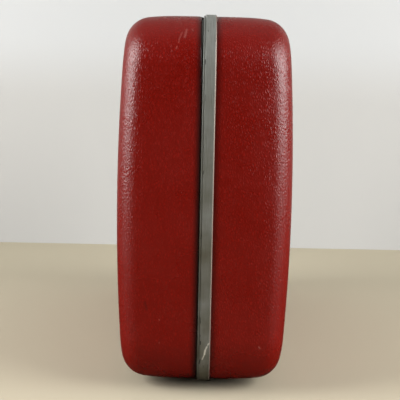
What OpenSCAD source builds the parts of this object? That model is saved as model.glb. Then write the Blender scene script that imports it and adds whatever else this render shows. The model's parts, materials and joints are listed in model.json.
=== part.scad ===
// Hard shell suitcase, closed and standing on its hinge side.
// X runs along the hinge, Y across the seam, Z up to the handle. The base half lies at +Y, the lid at -Y.

/* [Case] */
// Length of the metal frame, along the hinge
case_length = 660; // [560:5:760]
// Height of the metal frame, from the hinge side to the handle side
case_height = 479; // [420:1:560]
// Thickness of the case over both broad faces
case_thickness = 233.6; // [224:0.1:256]
// Outer corner radius of the metal frame
corner_r = 70; // [50:1:90]
// How much deeper the base half is than half of the case, and the lid shallower
seam_offset = 2.6; // [0:0.1:5]
// Height of the frame above the ground
ground_gap = 4.5; // [4.2:0.1:8]

/* [Shells] */
// Wall thickness of the moulded shells
shell_t = 3; // [2:0.1:3.2]
// Radius that rounds a side wall into the broad face
face_r = 34; // [24:1:40]
// How far the side wall draws in over its depth
draft = 2; // [0.5:0.1:3]
// Bulge of the broad face over its height
crown_h = 10.8; // [4:0.1:16]
// Bulge of the broad face over its length
crown_l = 7; // [3:0.1:12]
// Step from the frame's outer surface down to the shell
shell_step = 2.4; // [2.2:0.1:2.8]
// Thickness of the fabric lining
lining_t = 1.6; // [1:0.1:2.5]
// Clearance between the shell and its lining
lining_gap = 0.5; // [0.3:0.1:0.8]

/* [Frame] */
// Width of the wide rail on the base half
band_w = 13.5; // [12:0.1:16]
// Width of the narrow rail on the lid half
strip_w = 2.4; // [2.2:0.1:3]
// Drop from the wide rail's surface to the narrow rail's
strip_drop = 1.3; // [0.8:0.1:1.4]
// Thickness of the rails' sheet
rail_t = 1.5; // [1.2:0.1:1.6]
// Gap between the two rails at the seam
seam_gap = 0.4; // [0.4:0.1:0.8]
// Open groove between the narrow rail and the lid shell
lid_groove = 1.3; // [0.6:0.1:2]
// Height of the lid rail's tongue
tongue_h = 2; // [1.4:0.1:2.2]
// Diameter of the rivets in the rails
rivet_d = 3.2; // [2.5:0.1:4]
// Distance between rivets along the long sides
rivet_pitch = 110; // [80:1:120]

/* [Hinges] */
// Length of one hinge
hinge_l = 44; // [30:1:60]
// Distance of the outer hinges from the ends of the case
hinge_inset = 140; // [110:1:180]
// Outer diameter of the hinge knuckles
knuckle_d = 6; // [5:0.1:6.4]
// Diameter of the hinge pins
hinge_pin_d = 3; // [2:0.1:3.5]
// Thickness of the hinge leaves
leaf_t = 1.4; // [1:0.1:1.6]
// Width of the leaf on the base rail
leaf_w = 12; // [10:0.1:13]

/* [Handle] */
// Distance between the two handle links, centre to centre
handle_span = 132; // [110:1:160]
// Distance of the handle's axis from the seam
handle_y = 25; // [23:0.5:32]
// Height of the handle's axis above the frame
handle_rise = 7; // [6:0.1:9]
// Reach of the grip from the ends of its links
handle_reach = 32; // [26:1:36]
// Thickness of the grip at its middle, in the plane of the loop
grip_w = 19; // [14:0.5:20]
// Thickness of the grip at its middle, across the loop
grip_h = 16; // [12:0.5:16]
// Diameter of the handle pins
handle_pin_d = 4; // [3:0.1:5]

/* [Latches] */
// Distance of the latches from the ends of the case
latch_inset = 190; // [140:1:210]
// Length of the lock body
lock_l = 70; // [68:1:84]
// Height of the lock body above the frame
lock_h = 7; // [7:0.1:8]
// Depth of the lock body, across the seam
lock_w = 17; // [16:0.1:20]
// Travel of the slider and its bolt
slider_travel = 9; // [9:0.1:10]
// Diameter of the key cylinder
key_d = 8; // [6:0.1:9]
// Width of the hasp plate along the frame
hasp_l = 26; // [22:1:30]
// Thickness of the hasp plate
hasp_t = 1.4; // [1:0.1:1.6]

/* [Lid stays] */
// Height of the stay pivots above the hinge axis
stay_pivot_h = 150; // [120:1:170]
// Distance of the stay pivots from the seam
stay_pivot_y = 9; // [8:0.1:9.5]
// Width of the stay arms
stay_w = 11; // [9:0.1:12]
// Thickness of the stay arms
stay_t = 1.8; // [1.2:0.1:2]
// Diameter of the stay studs
stud_d = 5; // [4:0.1:5.5]

/* [Feet] */
// Distance of the feet from the ends of the case
foot_inset = 105; // [90:1:150]
// Length of a foot along the case
foot_l = 18; // [12:1:26]
// Distance from the seam to the near end of a foot
foot_near = 38; // [30:1:44]
// Distance from the seam to the far end of a foot
foot_far = 88; // [80:1:92]

/* [Inside] */
// Distance of the straps from the middle
strap_x = 95; // [60:1:140]
// Width of the straps
strap_w = 30; // [20:1:40]
// Thickness of the straps
strap_t = 1.5; // [1:0.1:2]
// Distance from the seam to the straps
strap_y = 24; // [22:1:36]
// Length of the buckle along its strap
buckle_l = 46; // [36:1:60]
// Width of the lid pocket
pocket_l = 430; // [300:5:460]
// Height of the lid pocket
pocket_h = 210; // [140:5:260]
// Height of the pocket's lower edge above the bottom of the frame
pocket_bottom = 62; // [50:1:90]
// Thickness of the pocket's fabric
pocket_t = 2.4; // [1.5:0.1:3]
// Diameter of the elastic in the pocket's top edge
elastic_d = 6; // [4:0.5:8]

/* [Hidden] */
$fn = 48;

SIDES = [["left", -1], ["right", 1]];
PLACES = [["left", -1], ["centre", 0], ["right", 1]];

shell_red = [0.55, 0.09, 0.07];
satin_metal = [0.58, 0.58, 0.56];
bright_metal = [0.78, 0.78, 0.77];
lining_red = [0.46, 0.12, 0.14];
dark_nylon = [0.12, 0.11, 0.11];

half_l = case_length / 2;
half_h = case_height / 2;
// Depth of the side walls, from the seam to where they start to round over
wall_mean = case_thickness / 2 - face_r - crown_h - crown_l;
base_wall = wall_mean + seam_offset;
lid_wall = wall_mean - seam_offset;
hinge_x = half_l - hinge_inset;
latch_x = half_l - latch_inset;
foot_x = half_l - foot_inset;
middle_z = ground_gap + half_h;
top_z = ground_gap + case_height;

// Clearances: move is between bodies that move, seat between pieces that rest on each other,
// run is round a pin that turns in its bore, snug is the extra diameter of a bore that holds its pin
move = 0.4;
seat = 0.3;
run = 0.08;
snug = 0.04;

// The rails' inner flange carries the shells. It lies this deep below the frame's surface, in tenths of
// a millimetre, clear of the flats that the shells' round corners are made of
CORNER_STEPS = 8;
flange_v = 16;
corner_sag = (corner_r - shell_step) * (1 - cos(45 / CORNER_STEPS));
flange_u = ceil(10 * (shell_step + shell_t + draft * flange_v / lid_wall + corner_sag + seat)) / 10;
groove_v = tongue_h + 0.6;
web_v = groove_v + rail_t;
lip_t = 2;
lip_v = flange_v + 0.4;
tongue_t = 1.2;
tongue_u = strip_drop + 2.5;
groove_out = 0.4;
groove_in = 0.8;
inner_u = flange_u + rail_t;
bevel_v = 1.7;
bevel_u = 0.9;
edge_cut = 0.4;

// Outline of the case: arc centres and outward directions, round the frame
LONG_STEPS = 10;
END_STEPS = 8;
line_l = half_l - corner_r;
line_h = half_h - corner_r;
stations = concat(
  [for (i = [0 : END_STEPS - 1]) [line_l, -line_h + 2 * line_h * i / END_STEPS, 1, 0]],
  corner(line_l, line_h, 0),
  [for (i = [0 : LONG_STEPS - 1]) [line_l - 2 * line_l * i / LONG_STEPS, line_h, 0, 1]],
  corner(-line_l, line_h, 90),
  [for (i = [0 : END_STEPS - 1]) [-line_l, line_h - 2 * line_h * i / END_STEPS, -1, 0]],
  corner(-line_l, -line_h, 180),
  [for (i = [0 : LONG_STEPS - 1]) [-line_l + 2 * line_l * i / LONG_STEPS, -line_h, 0, -1]],
  corner(line_l, -line_h, 270)
);
function corner(x, z, turn) = [
  for (i = [0 : CORNER_STEPS - 1])
    let (a = turn + 90 * i / CORNER_STEPS) [x, z, cos(a), sin(a)]
];

// The skins of a half: u is measured in from the frame's surface, v from the seam, wall is the half's depth
WALL_DEPTHS = [0, 0.5, 1];
FILLET_ANGLES = [18, 36, 54, 72, 90];
FACE_SCALES = [0.8, 0.55, 0.28];
function inset(s, u) = [s[0] + (corner_r - u) * s[2], s[1] + (corner_r - u) * s[3]];
function crown(p) = crown_l * (1 - pow(p[0] / half_l, 2)) + crown_h * (1 - pow(p[1] / half_h, 2));
function rise(v, wall) = max(0, (v - lip_v) / (wall - lip_v));
function wall_point(s, depth, v, wall) =
  let (p = inset(s, shell_step + depth + draft * v / wall)) [p[0], v + crown(p) * rise(v, wall), p[1]];
function fillet_point(s, depth, a, wall) =
  let (r = face_r - depth, p = inset(s, shell_step + depth + draft + r * (1 - cos(a))))
    [p[0], wall + r * sin(a) + crown(p), p[1]];
function face_y(p, depth, wall) = wall + face_r - depth + crown(p);
function face_point(s, depth, k, wall) =
  let (p = k * inset(s, shell_step + draft + face_r)) [p[0], face_y(p, depth, wall), p[1]];
function skin(depth, start, wall) = concat(
  start < lip_v ? [[for (s = stations) wall_point(s, depth, start, wall)]] : [],
  [for (t = WALL_DEPTHS) [for (s = stations) wall_point(s, depth, lip_v + t * (wall - lip_v), wall)]],
  [for (a = FILLET_ANGLES) [for (s = stations) fillet_point(s, depth, a, wall)]],
  [for (k = FACE_SCALES) [for (s = stations) face_point(s, depth, k, wall)]]
);
function flat_list(rows) = [for (row = rows) for (p = row) p];
function two_faces(a, b, c, d, flip) = flip ? [[c, b, a], [d, c, a]] : [[a, b, c], [a, c, d]];

// A closed bowl between two skins, with its rim towards the seam; side is +1 for the base, -1 for the lid
module bowl(outer_depth, inner_depth, start, side) {
  wall = side > 0 ? base_wall : lid_wall;
  outer = skin(outer_depth, start, wall);
  inner = skin(inner_depth, start, wall);
  n = len(stations);
  rings = len(outer);
  points = concat(
    flat_list(outer), [[0, face_y([0, 0], outer_depth, wall), 0]],
    flat_list(inner), [[0, face_y([0, 0], inner_depth, wall), 0]]
  );
  half = n * rings + 1;
  flip = side < 0;
  faces = concat(
    [for (first = [0, half]) for (k = [0 : rings - 2]) for (i = [0 : n - 1])
      let (j = (i + 1) % n, a = first + k * n, turned = first > 0 ? !flip : flip)
        each two_faces(a + i, a + j, a + n + j, a + n + i, turned)],
    [for (first = [0, half]) for (i = [0 : n - 1])
      let (j = (i + 1) % n, a = first + (rings - 1) * n, centre = first + rings * n)
        (first > 0) != flip ? [a + j, a + i, centre] : [a + i, a + j, centre]],
    [for (i = [0 : n - 1]) let (j = (i + 1) % n) each two_faces(half + i, half + j, j, i, flip)]
  );
  translate([0, 0, middle_z])
    polyhedron([for (p = points) [p[0], side * p[1], p[2]]], faces);
}

// A rail bent round the frame: section points are [u, v]
module frame_ring(section) {
  translate([0, 0, middle_z]) rotate([90, 0, 0]) {
    for (side = [-1, 1]) {
      ring_bar(section, half_l, 2 * line_h, side > 0 ? 0 : 180);
      ring_bar(section, half_h, 2 * line_l, side * 90);
    }
    for (q = [[1, 1, 0], [-1, 1, 90], [-1, -1, 180], [1, -1, 270]])
      translate([q[0] * line_l, q[1] * line_h, 0])
        rotate([0, 0, q[2]])
          rotate_extrude(angle = 90, $fn = 96)
            polygon([for (p = section) [corner_r - p[0], -p[1]]]);
  }
}
module ring_bar(section, out, length, turn) {
  rotate([0, 0, turn])
    translate([out, 0, 0])
      rotate([90, 0, 0])
        linear_extrude(length, center = true)
          polygon([for (p = section) [-p[0], -p[1]]]);
}

// A shape drawn in [y, z] and drawn out along X, centred
module along_x(length) {
  rotate([90, 0, 90]) linear_extrude(length, center = true) children();
}
module x_cylinder(d, length) {
  rotate([0, 90, 0]) cylinder(d = d, h = length, center = true);
}

// Rivet places round the inner flange: each child is drawn with +Z pointing out of the case
long_rivets = [for (i = [-2 : 2]) i * min(rivet_pitch, line_l / 2.1)];
end_rivets = [-0.78, 0, 0.78] * line_h;
module rivet_places(v) {
  for (x = long_rivets) {
    translate([x, v, top_z - inner_u]) children();
    translate([x, v, ground_gap + inner_u]) rotate([180, 0, 0]) children();
  }
  for (z = end_rivets) for (side = [-1, 1])
    translate([side * (half_l - inner_u), v, middle_z + z]) rotate([0, side * 90, 0]) children();
}
module rail_rivet() {
  cylinder(d = rivet_d, h = rail_t);
  translate([0, 0, -rivet_d / 3]) cylinder(d = 2 * rivet_d, h = rivet_d / 3);
}

module base_shell() {
  color(shell_red) bowl(0, shell_t, web_v + 0.4, 1);
}
module lid_shell() {
  color(shell_red) bowl(0, shell_t, strip_w + lid_groove, -1);
}
module base_lining() {
  color(lining_red) bowl(shell_t + lining_gap, shell_t + lining_gap + lining_t, lip_v, 1);
}
module lid_lining() {
  color(lining_red) bowl(shell_t + lining_gap, shell_t + lining_gap + lining_t, lip_v, -1);
}

face_v = seam_gap / 2;
module base_rail() {
  groove_1 = tongue_u - groove_out;
  groove_2 = tongue_u + tongue_t + groove_in;
  color(satin_metal) difference() {
    frame_ring([
      [edge_cut, face_v], [0, face_v + edge_cut], [0, band_w - bevel_v], [bevel_u, band_w], [lip_t, band_w],
      [lip_t, web_v], [flange_u, web_v], [flange_u, flange_v], [inner_u, flange_v], [inner_u, face_v],
      [groove_2, face_v], [groove_2, groove_v], [groove_1, groove_v], [groove_1, face_v]
    ]);
    rail_cuts(1);
  }
}
module lid_rail() {
  color(satin_metal) difference() {
    frame_ring([
      [strip_drop, -face_v], [tongue_u, -face_v], [tongue_u, tongue_h - face_v],
      [tongue_u + tongue_t, tongue_h - face_v], [tongue_u + tongue_t, -face_v], [inner_u, -face_v],
      [inner_u, -flange_v], [flange_u, -flange_v], [flange_u, -strip_w], [strip_drop, -strip_w]
    ]);
    rail_cuts(-1);
  }
}
rivet_v = 11;
module rail_cuts(side) {
  rivet_places(side * rivet_v) translate([0, 0, -1]) cylinder(d = rivet_d + 2 * snug, h = rail_t + 2);
  for (p = PLACES) translate([p[1] * hinge_x, 0, ground_gap])
    x_cylinder(knuckle_d + 2 * move, hinge_l + 2 * move);
  for (s = SIDES) translate([s[1] * (half_l - inner_u - 1), side * stay_pivot_y, stay_z])
    rotate([0, s[1] * 90, 0]) cylinder(d = stud_shank_d + snug, h = rail_t + 2);
}
module base_rivets() {
  color(bright_metal) rivet_places(rivet_v) rail_rivet();
}
module lid_rivets() {
  color(bright_metal) rivet_places(-rivet_v) rail_rivet();
}

// Hinges: five knuckles on a pin, whose axis lies in the frame's surface at the seam
knuckle_l = hinge_l / 5;
leaf_edge = knuckle_d / 2 + move;
module knuckle(k) {
  translate([(k - 2) * knuckle_l, 0, 0]) difference() {
    union() {
      x_cylinder(knuckle_d, knuckle_l - move);
      children();
    }
    x_cylinder(hinge_pin_d + 2 * run, knuckle_l + 1);
  }
}
leaf_rivets = [-0.32, 0.32] * hinge_l;
module leaf_holes(y) {
  for (x = leaf_rivets) translate([x, y, -5]) cylinder(d = rivet_d, h = 10);
}
base_leaf_rivet_y = leaf_edge + 0.5 * (leaf_w - leaf_edge);
module hinge_base_leaf(place) {
  color(bright_metal) translate([place * hinge_x, 0, ground_gap]) difference() {
    union() {
      for (k = [0, 2, 4]) knuckle(k)
        translate([-knuckle_l / 2 + move / 2, 0, -leaf_t])
          cube([knuckle_l - move, leaf_edge + 0.1, leaf_t]);
      translate([-hinge_l / 2 + move / 2, leaf_edge, -leaf_t])
        cube([hinge_l - move, leaf_w - leaf_edge, leaf_t]);
    }
    leaf_holes(base_leaf_rivet_y);
  }
}
lid_leaf_w = leaf_w + 5;
lid_pad_y = strip_w + lid_groove;
lid_leaf_top = shell_step - seat;
lid_leaf_rivet_y = -0.5 * (lid_pad_y + lid_leaf_w);
module hinge_lid_leaf(place) {
  leaf_z = strip_drop - leaf_t;
  color(bright_metal) translate([place * hinge_x, 0, ground_gap]) difference() {
    union() {
      for (k = [1, 3]) knuckle(k)
        translate([-knuckle_l / 2 + move / 2, -leaf_edge - 0.1, leaf_z])
          cube([knuckle_l - move, leaf_edge + 0.1, leaf_t]);
      along_x(hinge_l - move) polygon([
        [-leaf_edge, leaf_z], [-leaf_edge, strip_drop], [-lid_pad_y, strip_drop],
        [-lid_pad_y, lid_leaf_top], [-lid_leaf_w, lid_leaf_top], [-lid_leaf_w, leaf_z]
      ]);
    }
    leaf_holes(lid_leaf_rivet_y);
  }
}
module hinge_pin(place) {
  color(bright_metal) translate([place * hinge_x, 0, ground_gap]) x_cylinder(hinge_pin_d, hinge_l);
}

// Handle: two links on pins, folded down towards the broad face, with a moulded grip between them
handle_z = top_z + handle_rise;
link_w = 6;
link_d = 11;
ear_t = 2.5;
base_t = 2.2;
bracket_half = 9;
bracket_wing = 6;
grip_start = 11;
function shell_z(v) = top_z - shell_step - draft * v / base_wall;
module handle_bracket(side) {
  near = handle_y - bracket_half;
  far = handle_y + bracket_half;
  foot_z = shell_z(near) + seat;
  gap = link_w + 2 * move;
  bracket_w = gap + 2 * ear_t;
  base_l = bracket_w + 2 * bracket_wing;
  color(bright_metal) translate([side * handle_span / 2, 0, 0]) difference() {
    union() {
      translate([-base_l / 2, near, foot_z]) cube([base_l, far - near, base_t]);
      for (x = [-1, 1]) translate([x * (gap + ear_t) / 2, 0, 0]) {
        translate([0, handle_y, handle_z]) x_cylinder(link_d - 1, ear_t);
        translate([-ear_t / 2, handle_y - (link_d - 1) / 2, foot_z])
          cube([ear_t, link_d - 1, handle_z - foot_z]);
      }
    }
    translate([0, handle_y, handle_z]) x_cylinder(handle_pin_d + snug, bracket_w + 2);
    bracket_rivet_places() translate([0, 0, -5]) cylinder(d = rivet_d, h = 10);
  }
}
module bracket_rivet_places() {
  x = link_w / 2 + move + ear_t + bracket_wing / 2;
  for (k = [-1, 1])
    translate([k * x, handle_y, shell_z(handle_y - bracket_half) + seat]) children();
}
module handle_pins() {
  pin_l = link_w + 2 * move + 2 * ear_t + 1;
  color(bright_metal) for (s = SIDES) translate([s[1] * handle_span / 2, handle_y, handle_z])
    x_cylinder(handle_pin_d, pin_l);
}
module handle_link(side) {
  color(bright_metal) translate([side * handle_span / 2, handle_y, handle_z]) difference() {
    union() {
      x_cylinder(link_d, link_w);
      translate([-link_w / 2, 0, -link_d / 4]) cube([link_w, grip_start, link_d / 2]);
      translate([-link_w / 2 - 2, grip_start - 2, -link_d / 2]) cube([link_w + 4, 2, link_d]);
    }
    x_cylinder(handle_pin_d + 2 * run, link_w + 1);
  }
}
// The grip's centre line is half of a squared ellipse, so that its ends run straight into the links
GRIP_RINGS = 30;
GRIP_SIDES = 16;
function grip_angle(i) = 90 * (1 - cos(180 * i / GRIP_RINGS));
function grip_at(i) = let (a = grip_angle(i))
  [handle_span / 2 * sign(cos(a)) * sqrt(abs(cos(a))), handle_reach * sqrt(max(0, sin(a)))];
function grip_across(i) = let (
    a = grip_at(max(0, i - 1)), b = grip_at(min(GRIP_RINGS, i + 1)), d = b - a, n = norm(d)
  ) (i == 0 || i == GRIP_RINGS) ? [i == 0 ? 1 : -1, 0] : [d[1] / n, -d[0] / n];
function grip_swell(i) = 0.62 + 0.38 * pow(sin(grip_angle(i)), 0.5);
function grip_ring(i) = let (c = grip_at(i), n = grip_across(i), k = grip_swell(i)) [
  for (j = [0 : GRIP_SIDES - 1]) let (
      a = 360 * j / GRIP_SIDES, w = k * grip_w / 2 * cos(a), h = k * grip_h / 2 * sin(a)
    ) [c[0] + n[0] * w, c[1] + n[1] * w, h]
];
function tube_faces(rings, sides) = concat(
  [for (k = [0 : rings - 2]) for (j = [0 : sides - 1])
    let (a = k * sides, n = (j + 1) % sides)
      each two_faces(a + j, a + sides + j, a + sides + n, a + n, false)],
  [for (j = [1 : sides - 2]) [0, j, j + 1]],
  [for (j = [1 : sides - 2]) let (a = (rings - 1) * sides) [a, a + j + 1, a + j]]
);
module handle_grip() {
  rings = [for (i = [0 : GRIP_RINGS]) grip_ring(i)];
  color(dark_nylon) translate([0, handle_y + grip_start, handle_z])
    polyhedron(flat_list(rings), tube_faces(GRIP_RINGS + 1, GRIP_SIDES));
}

// Latches: a staple under the hasp drops into a notch across the lock body, and the bolt passes through
// its eye. They are drawn with the bolt withdrawn. Heights here are measured from the top of the frame.
lock_setback = 0.7;
lock_y = face_v + lock_setback;
notch_l = 10;
staple_l = 6;
staple_bar = 1.3;
floor_t = 1.2;
bolt_w = 3.6;
bolt_h = 2.2;
bolt_y = lock_y + 6.9;
eye_z = floor_t + move + staple_bar;
bolt_z = eye_z + move;
eye_w = bolt_w + 4 * move;
staple_y = bolt_y - eye_w / 2 - staple_bar;
staple_w = eye_w + 2 * staple_bar;
channel_z = bolt_z - move;
channel_h = bolt_h + 2 * move;
bolt_tip = notch_l / 2 + 0.3;
button_l = 8;
button_x = hasp_l / 2 + move + slider_travel + button_l / 2;
bolt_l = button_x + button_l / 2 - bolt_tip;
key_x = -(hasp_l / 2 + 2 + key_d / 2);
hasp_z = lock_h + move;
module at_latch(side) {
  translate([side * latch_x, 0, top_z]) mirror([side < 0 ? 1 : 0, 0, 0]) children();
}
module lock_body(side) {
  color(bright_metal) at_latch(side) difference() {
    translate([-lock_l / 2, lock_y, 0]) cube([lock_l, lock_w, lock_h]);
    translate([-notch_l / 2, lock_y - 1, floor_t]) cube([notch_l, lock_w + 2, lock_h]);
    translate([-notch_l / 2 - 1, bolt_y - bolt_w / 2 - move, channel_z])
      cube([notch_l / 2 + bolt_tip + bolt_l + 1 + move, bolt_w + 2 * move, channel_h]);
    translate([button_x - button_l / 2 - slider_travel - move, bolt_y - bolt_w / 2 - move, channel_z])
      cube([button_l + slider_travel + 2 * move, bolt_w + 2 * move, lock_h]);
    translate([key_x, bolt_y, floor_t]) cylinder(d = key_d + 2 * run, h = lock_h);
    lock_rivet_places() translate([0, 0, -1]) cylinder(d = rivet_d, h = lock_h + 2);
  }
}
module lock_rivet_places() {
  for (x = [-1, 1]) translate([x * (lock_l / 2 - 3.2), lock_y + lock_w - 4, 0]) children();
}
module lock_slider(side) {
  cap_z = lock_h + move;
  color(bright_metal) at_latch(side) {
    translate([bolt_tip, bolt_y - bolt_w / 2, bolt_z]) cube([bolt_l, bolt_w, bolt_h]);
    translate([button_x - button_l / 2, bolt_y - bolt_w / 2, bolt_z])
      cube([button_l, bolt_w, cap_z - bolt_z + 0.5]);
    translate([button_x - button_l / 2, bolt_y - 4, cap_z]) difference() {
      cube([button_l, 8, 1.8]);
      for (i = [1 : 4]) translate([i * button_l / 5 - 0.35, -1, 1.2]) cube([0.7, 10, 1]);
    }
  }
}
module key_cylinder(side) {
  color(bright_metal) at_latch(side) translate([key_x, bolt_y, floor_t + move]) difference() {
    cylinder(d = key_d, h = lock_h - floor_t);
    translate([-key_d / 4, -0.6, lock_h / 2]) cube([key_d / 2, 1.2, lock_h]);
  }
}
hasp_pin_d = 2.4;
hasp_barrel_d = 6;
hasp_y = -11;
hasp_axis_z = 4;
hasp_ear_t = 3;
hasp_barrel_l = hasp_l - 2 * hasp_ear_t - 2 * move;
hasp_front = lock_y + lock_w + 2;
module hasp(side) {
  color(bright_metal) at_latch(side) difference() {
    union() {
      translate([0, hasp_y, hasp_axis_z]) x_cylinder(hasp_barrel_d, hasp_barrel_l);
      translate([-hasp_barrel_l / 2, hasp_y - 2, hasp_axis_z])
        cube([hasp_barrel_l, 5, hasp_z + hasp_t - hasp_axis_z]);
      translate([-hasp_l / 2, hasp_y - 2, hasp_z]) cube([hasp_l, hasp_front - hasp_y + 2, hasp_t]);
      difference() {
        translate([-staple_l / 2, staple_y, floor_t + move])
          cube([staple_l, staple_w, hasp_z - floor_t - move + 0.2]);
        translate([-staple_l / 2 - 1, staple_y + staple_bar, eye_z]) cube([staple_l + 2, eye_w, channel_h]);
      }
    }
    translate([0, hasp_y, hasp_axis_z]) x_cylinder(hasp_pin_d + 2 * run, hasp_barrel_l + 1);
  }
}
hasp_base_back = hasp_y - 10;
module hasp_base(side) {
  top = hasp_axis_z - hasp_barrel_d / 2 - move;
  color(bright_metal) at_latch(side) difference() {
    union() {
      along_x(hasp_l) polygon([
        [-face_v - 0.5, -strip_drop], [-face_v - 0.5, top], [hasp_base_back, top],
        [hasp_base_back, -shell_step + seat], [-lid_pad_y, -shell_step + seat], [-lid_pad_y, -strip_drop]
      ]);
      for (x = [-1, 1]) translate([x * (hasp_l - hasp_ear_t) / 2, hasp_y, 0]) {
        translate([0, 0, hasp_axis_z]) x_cylinder(hasp_barrel_d, hasp_ear_t);
        translate([-hasp_ear_t / 2, -hasp_barrel_d / 2, 0]) cube([hasp_ear_t, hasp_barrel_d, hasp_axis_z]);
      }
    }
    translate([0, hasp_y, hasp_axis_z]) x_cylinder(hasp_pin_d + snug, hasp_l + 1);
    hasp_rivet_places() translate([0, 0, -6]) cylinder(d = rivet_d, h = 10);
  }
}
module hasp_rivet_places() {
  for (x = [-1, 1])
    translate([x * hasp_l / 4, hasp_y - 7, hasp_axis_z - hasp_barrel_d / 2 - move]) children();
}
module hasp_pins() {
  color(bright_metal) for (s = SIDES) at_latch(s[1]) translate([0, hasp_y, hasp_axis_z])
    x_cylinder(hasp_pin_d, hasp_l);
}

// Rivets of the fittings: a shank that fills the fitting's hole, under a low head
head_t = 0.9;
module fitting_rivet(depth) {
  translate([0, 0, -depth]) cylinder(d = rivet_d - 0.1, h = depth);
  cylinder(d = 1.6 * rivet_d, h = head_t);
}
module base_fitting_rivets() {
  color(satin_metal) {
    for (p = PLACES) for (x = leaf_rivets)
      translate([p[1] * hinge_x + x, base_leaf_rivet_y, ground_gap - leaf_t])
        rotate([180, 0, 0]) fitting_rivet(leaf_t);
    for (s = SIDES) {
      translate([s[1] * handle_span / 2, 0, base_t]) bracket_rivet_places() fitting_rivet(base_t);
      at_latch(s[1]) translate([0, 0, lock_h]) lock_rivet_places() fitting_rivet(lock_h);
    }
  }
}
module lid_fitting_rivets() {
  pad_t = lid_leaf_top - strip_drop + leaf_t;
  color(satin_metal) {
    for (p = PLACES) for (x = leaf_rivets)
      translate([p[1] * hinge_x + x, lid_leaf_rivet_y, ground_gap + strip_drop - leaf_t])
        rotate([180, 0, 0]) fitting_rivet(pad_t);
    for (s = SIDES) at_latch(s[1]) hasp_rivet_places()
      fitting_rivet(hasp_axis_z - hasp_barrel_d / 2 - move + shell_step - seat);
  }
}

// Lid stays: with the hinge line, the two arms of a stay make a parallelogram
stay_z = ground_gap + stay_pivot_h;
elbow_z = ground_gap + 2 * stay_pivot_h;
stud_head_d = stud_d + 3;
stud_shank_d = stud_d - 1;
stud_head_t = 1.2;
base_arm_x = half_l - inner_u - 1.6;
lid_arm_x = base_arm_x - stay_t - 1;
eye_edge = 1.2;
module stay_arm(side, outer_x, pivot_y, elbow_hole_d) {
  color(bright_metal) translate([side * (outer_x - stay_t / 2), 0, 0]) difference() {
    eye_bar([pivot_y, stay_z], [0, elbow_z]);
    translate([0, pivot_y, stay_z]) x_cylinder(stud_d + 2 * run, stay_t + 2);
    translate([0, 0, elbow_z]) x_cylinder(elbow_hole_d, stay_t + 2);
  }
}
// A flat bar with a round eye at each end, a little wider than the bar
module eye_bar(a, b) {
  length = norm(b - a);
  tilt = atan2(b[0] - a[0], b[1] - a[1]);
  for (p = [a, b]) translate([0, p[0], p[1]]) x_cylinder(stay_w, stay_t);
  translate([0, a[0], a[1]]) rotate([-tilt, 0, 0])
    translate([-stay_t / 2, eye_edge - stay_w / 2, 0]) cube([stay_t, stay_w - 2 * eye_edge, length]);
}
module stay_base_arm(side) {
  stay_arm(side, base_arm_x, stay_pivot_y, stud_d + 2 * move);
}
module stay_lid_arm(side) {
  stay_arm(side, lid_arm_x, -stay_pivot_y, stud_d + snug);
}
module stay_elbow_pin(side) {
  far_x = base_arm_x + move;
  near_x = lid_arm_x - stay_t;
  color(bright_metal) translate([side * (far_x + near_x) / 2, 0, elbow_z]) {
    x_cylinder(stud_d, far_x - near_x);
    translate([side * (far_x - near_x + 0.6) / 2, 0, 0]) x_cylinder(stud_head_d, 0.6);
    translate([-side * (far_x - near_x + stud_head_t) / 2, 0, 0]) x_cylinder(stud_head_d, stud_head_t);
  }
}
module stay_stud(side, y, arm_x) {
  flange_x = half_l - inner_u;
  head_x = arm_x - stay_t - move;
  translate([side * (flange_x + head_x) / 2, y, stay_z]) x_cylinder(stud_d, flange_x - head_x);
  translate([side * (flange_x + rail_t / 2), y, stay_z]) x_cylinder(stud_shank_d, rail_t);
  translate([side * (flange_x - (flange_x - arm_x - move) / 2), y, stay_z])
    x_cylinder(stud_head_d, flange_x - arm_x - move);
  translate([side * (head_x - stud_head_t / 2), y, stay_z]) x_cylinder(stud_head_d, stud_head_t);
}
module stay_studs_base() {
  color(bright_metal) for (s = SIDES) stay_stud(s[1], stay_pivot_y, base_arm_x);
}
module stay_studs_lid() {
  color(bright_metal) for (s = SIDES) stay_stud(s[1], -stay_pivot_y, lid_arm_x);
}

// Feet: glides that follow the shell's wall and its rounding, and stand on the ground
foot_round = 3;
foot_crown = crown([foot_x - foot_l / 2, half_h - shell_step - draft - 0.2 * face_r]);
function under_shell(v, wall) = ground_gap + shell_step + draft * min(1, v / wall) - seat
  + (v > wall + foot_crown
    ? face_r * (1 - cos(asin(min(0.95, (v - wall - foot_crown) / face_r)))) : 0);
module foot(side, half) {
  wall = half > 0 ? base_wall : lid_wall;
  bends = [for (i = [0 : 4]) let (v = wall + (foot_far - wall) * i / 4) [v, under_shell(v, wall)]];
  color(dark_nylon) translate([side * foot_x, 0, 0]) mirror([0, half < 0 ? 1 : 0, 0])
    along_x(foot_l) polygon(concat(
      [[foot_near + foot_round, 0], [foot_near, foot_round], [foot_near, under_shell(foot_near, wall)]],
      bends,
      [[foot_far, foot_round], [foot_far - foot_round, 0]]
    ));
}

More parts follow.
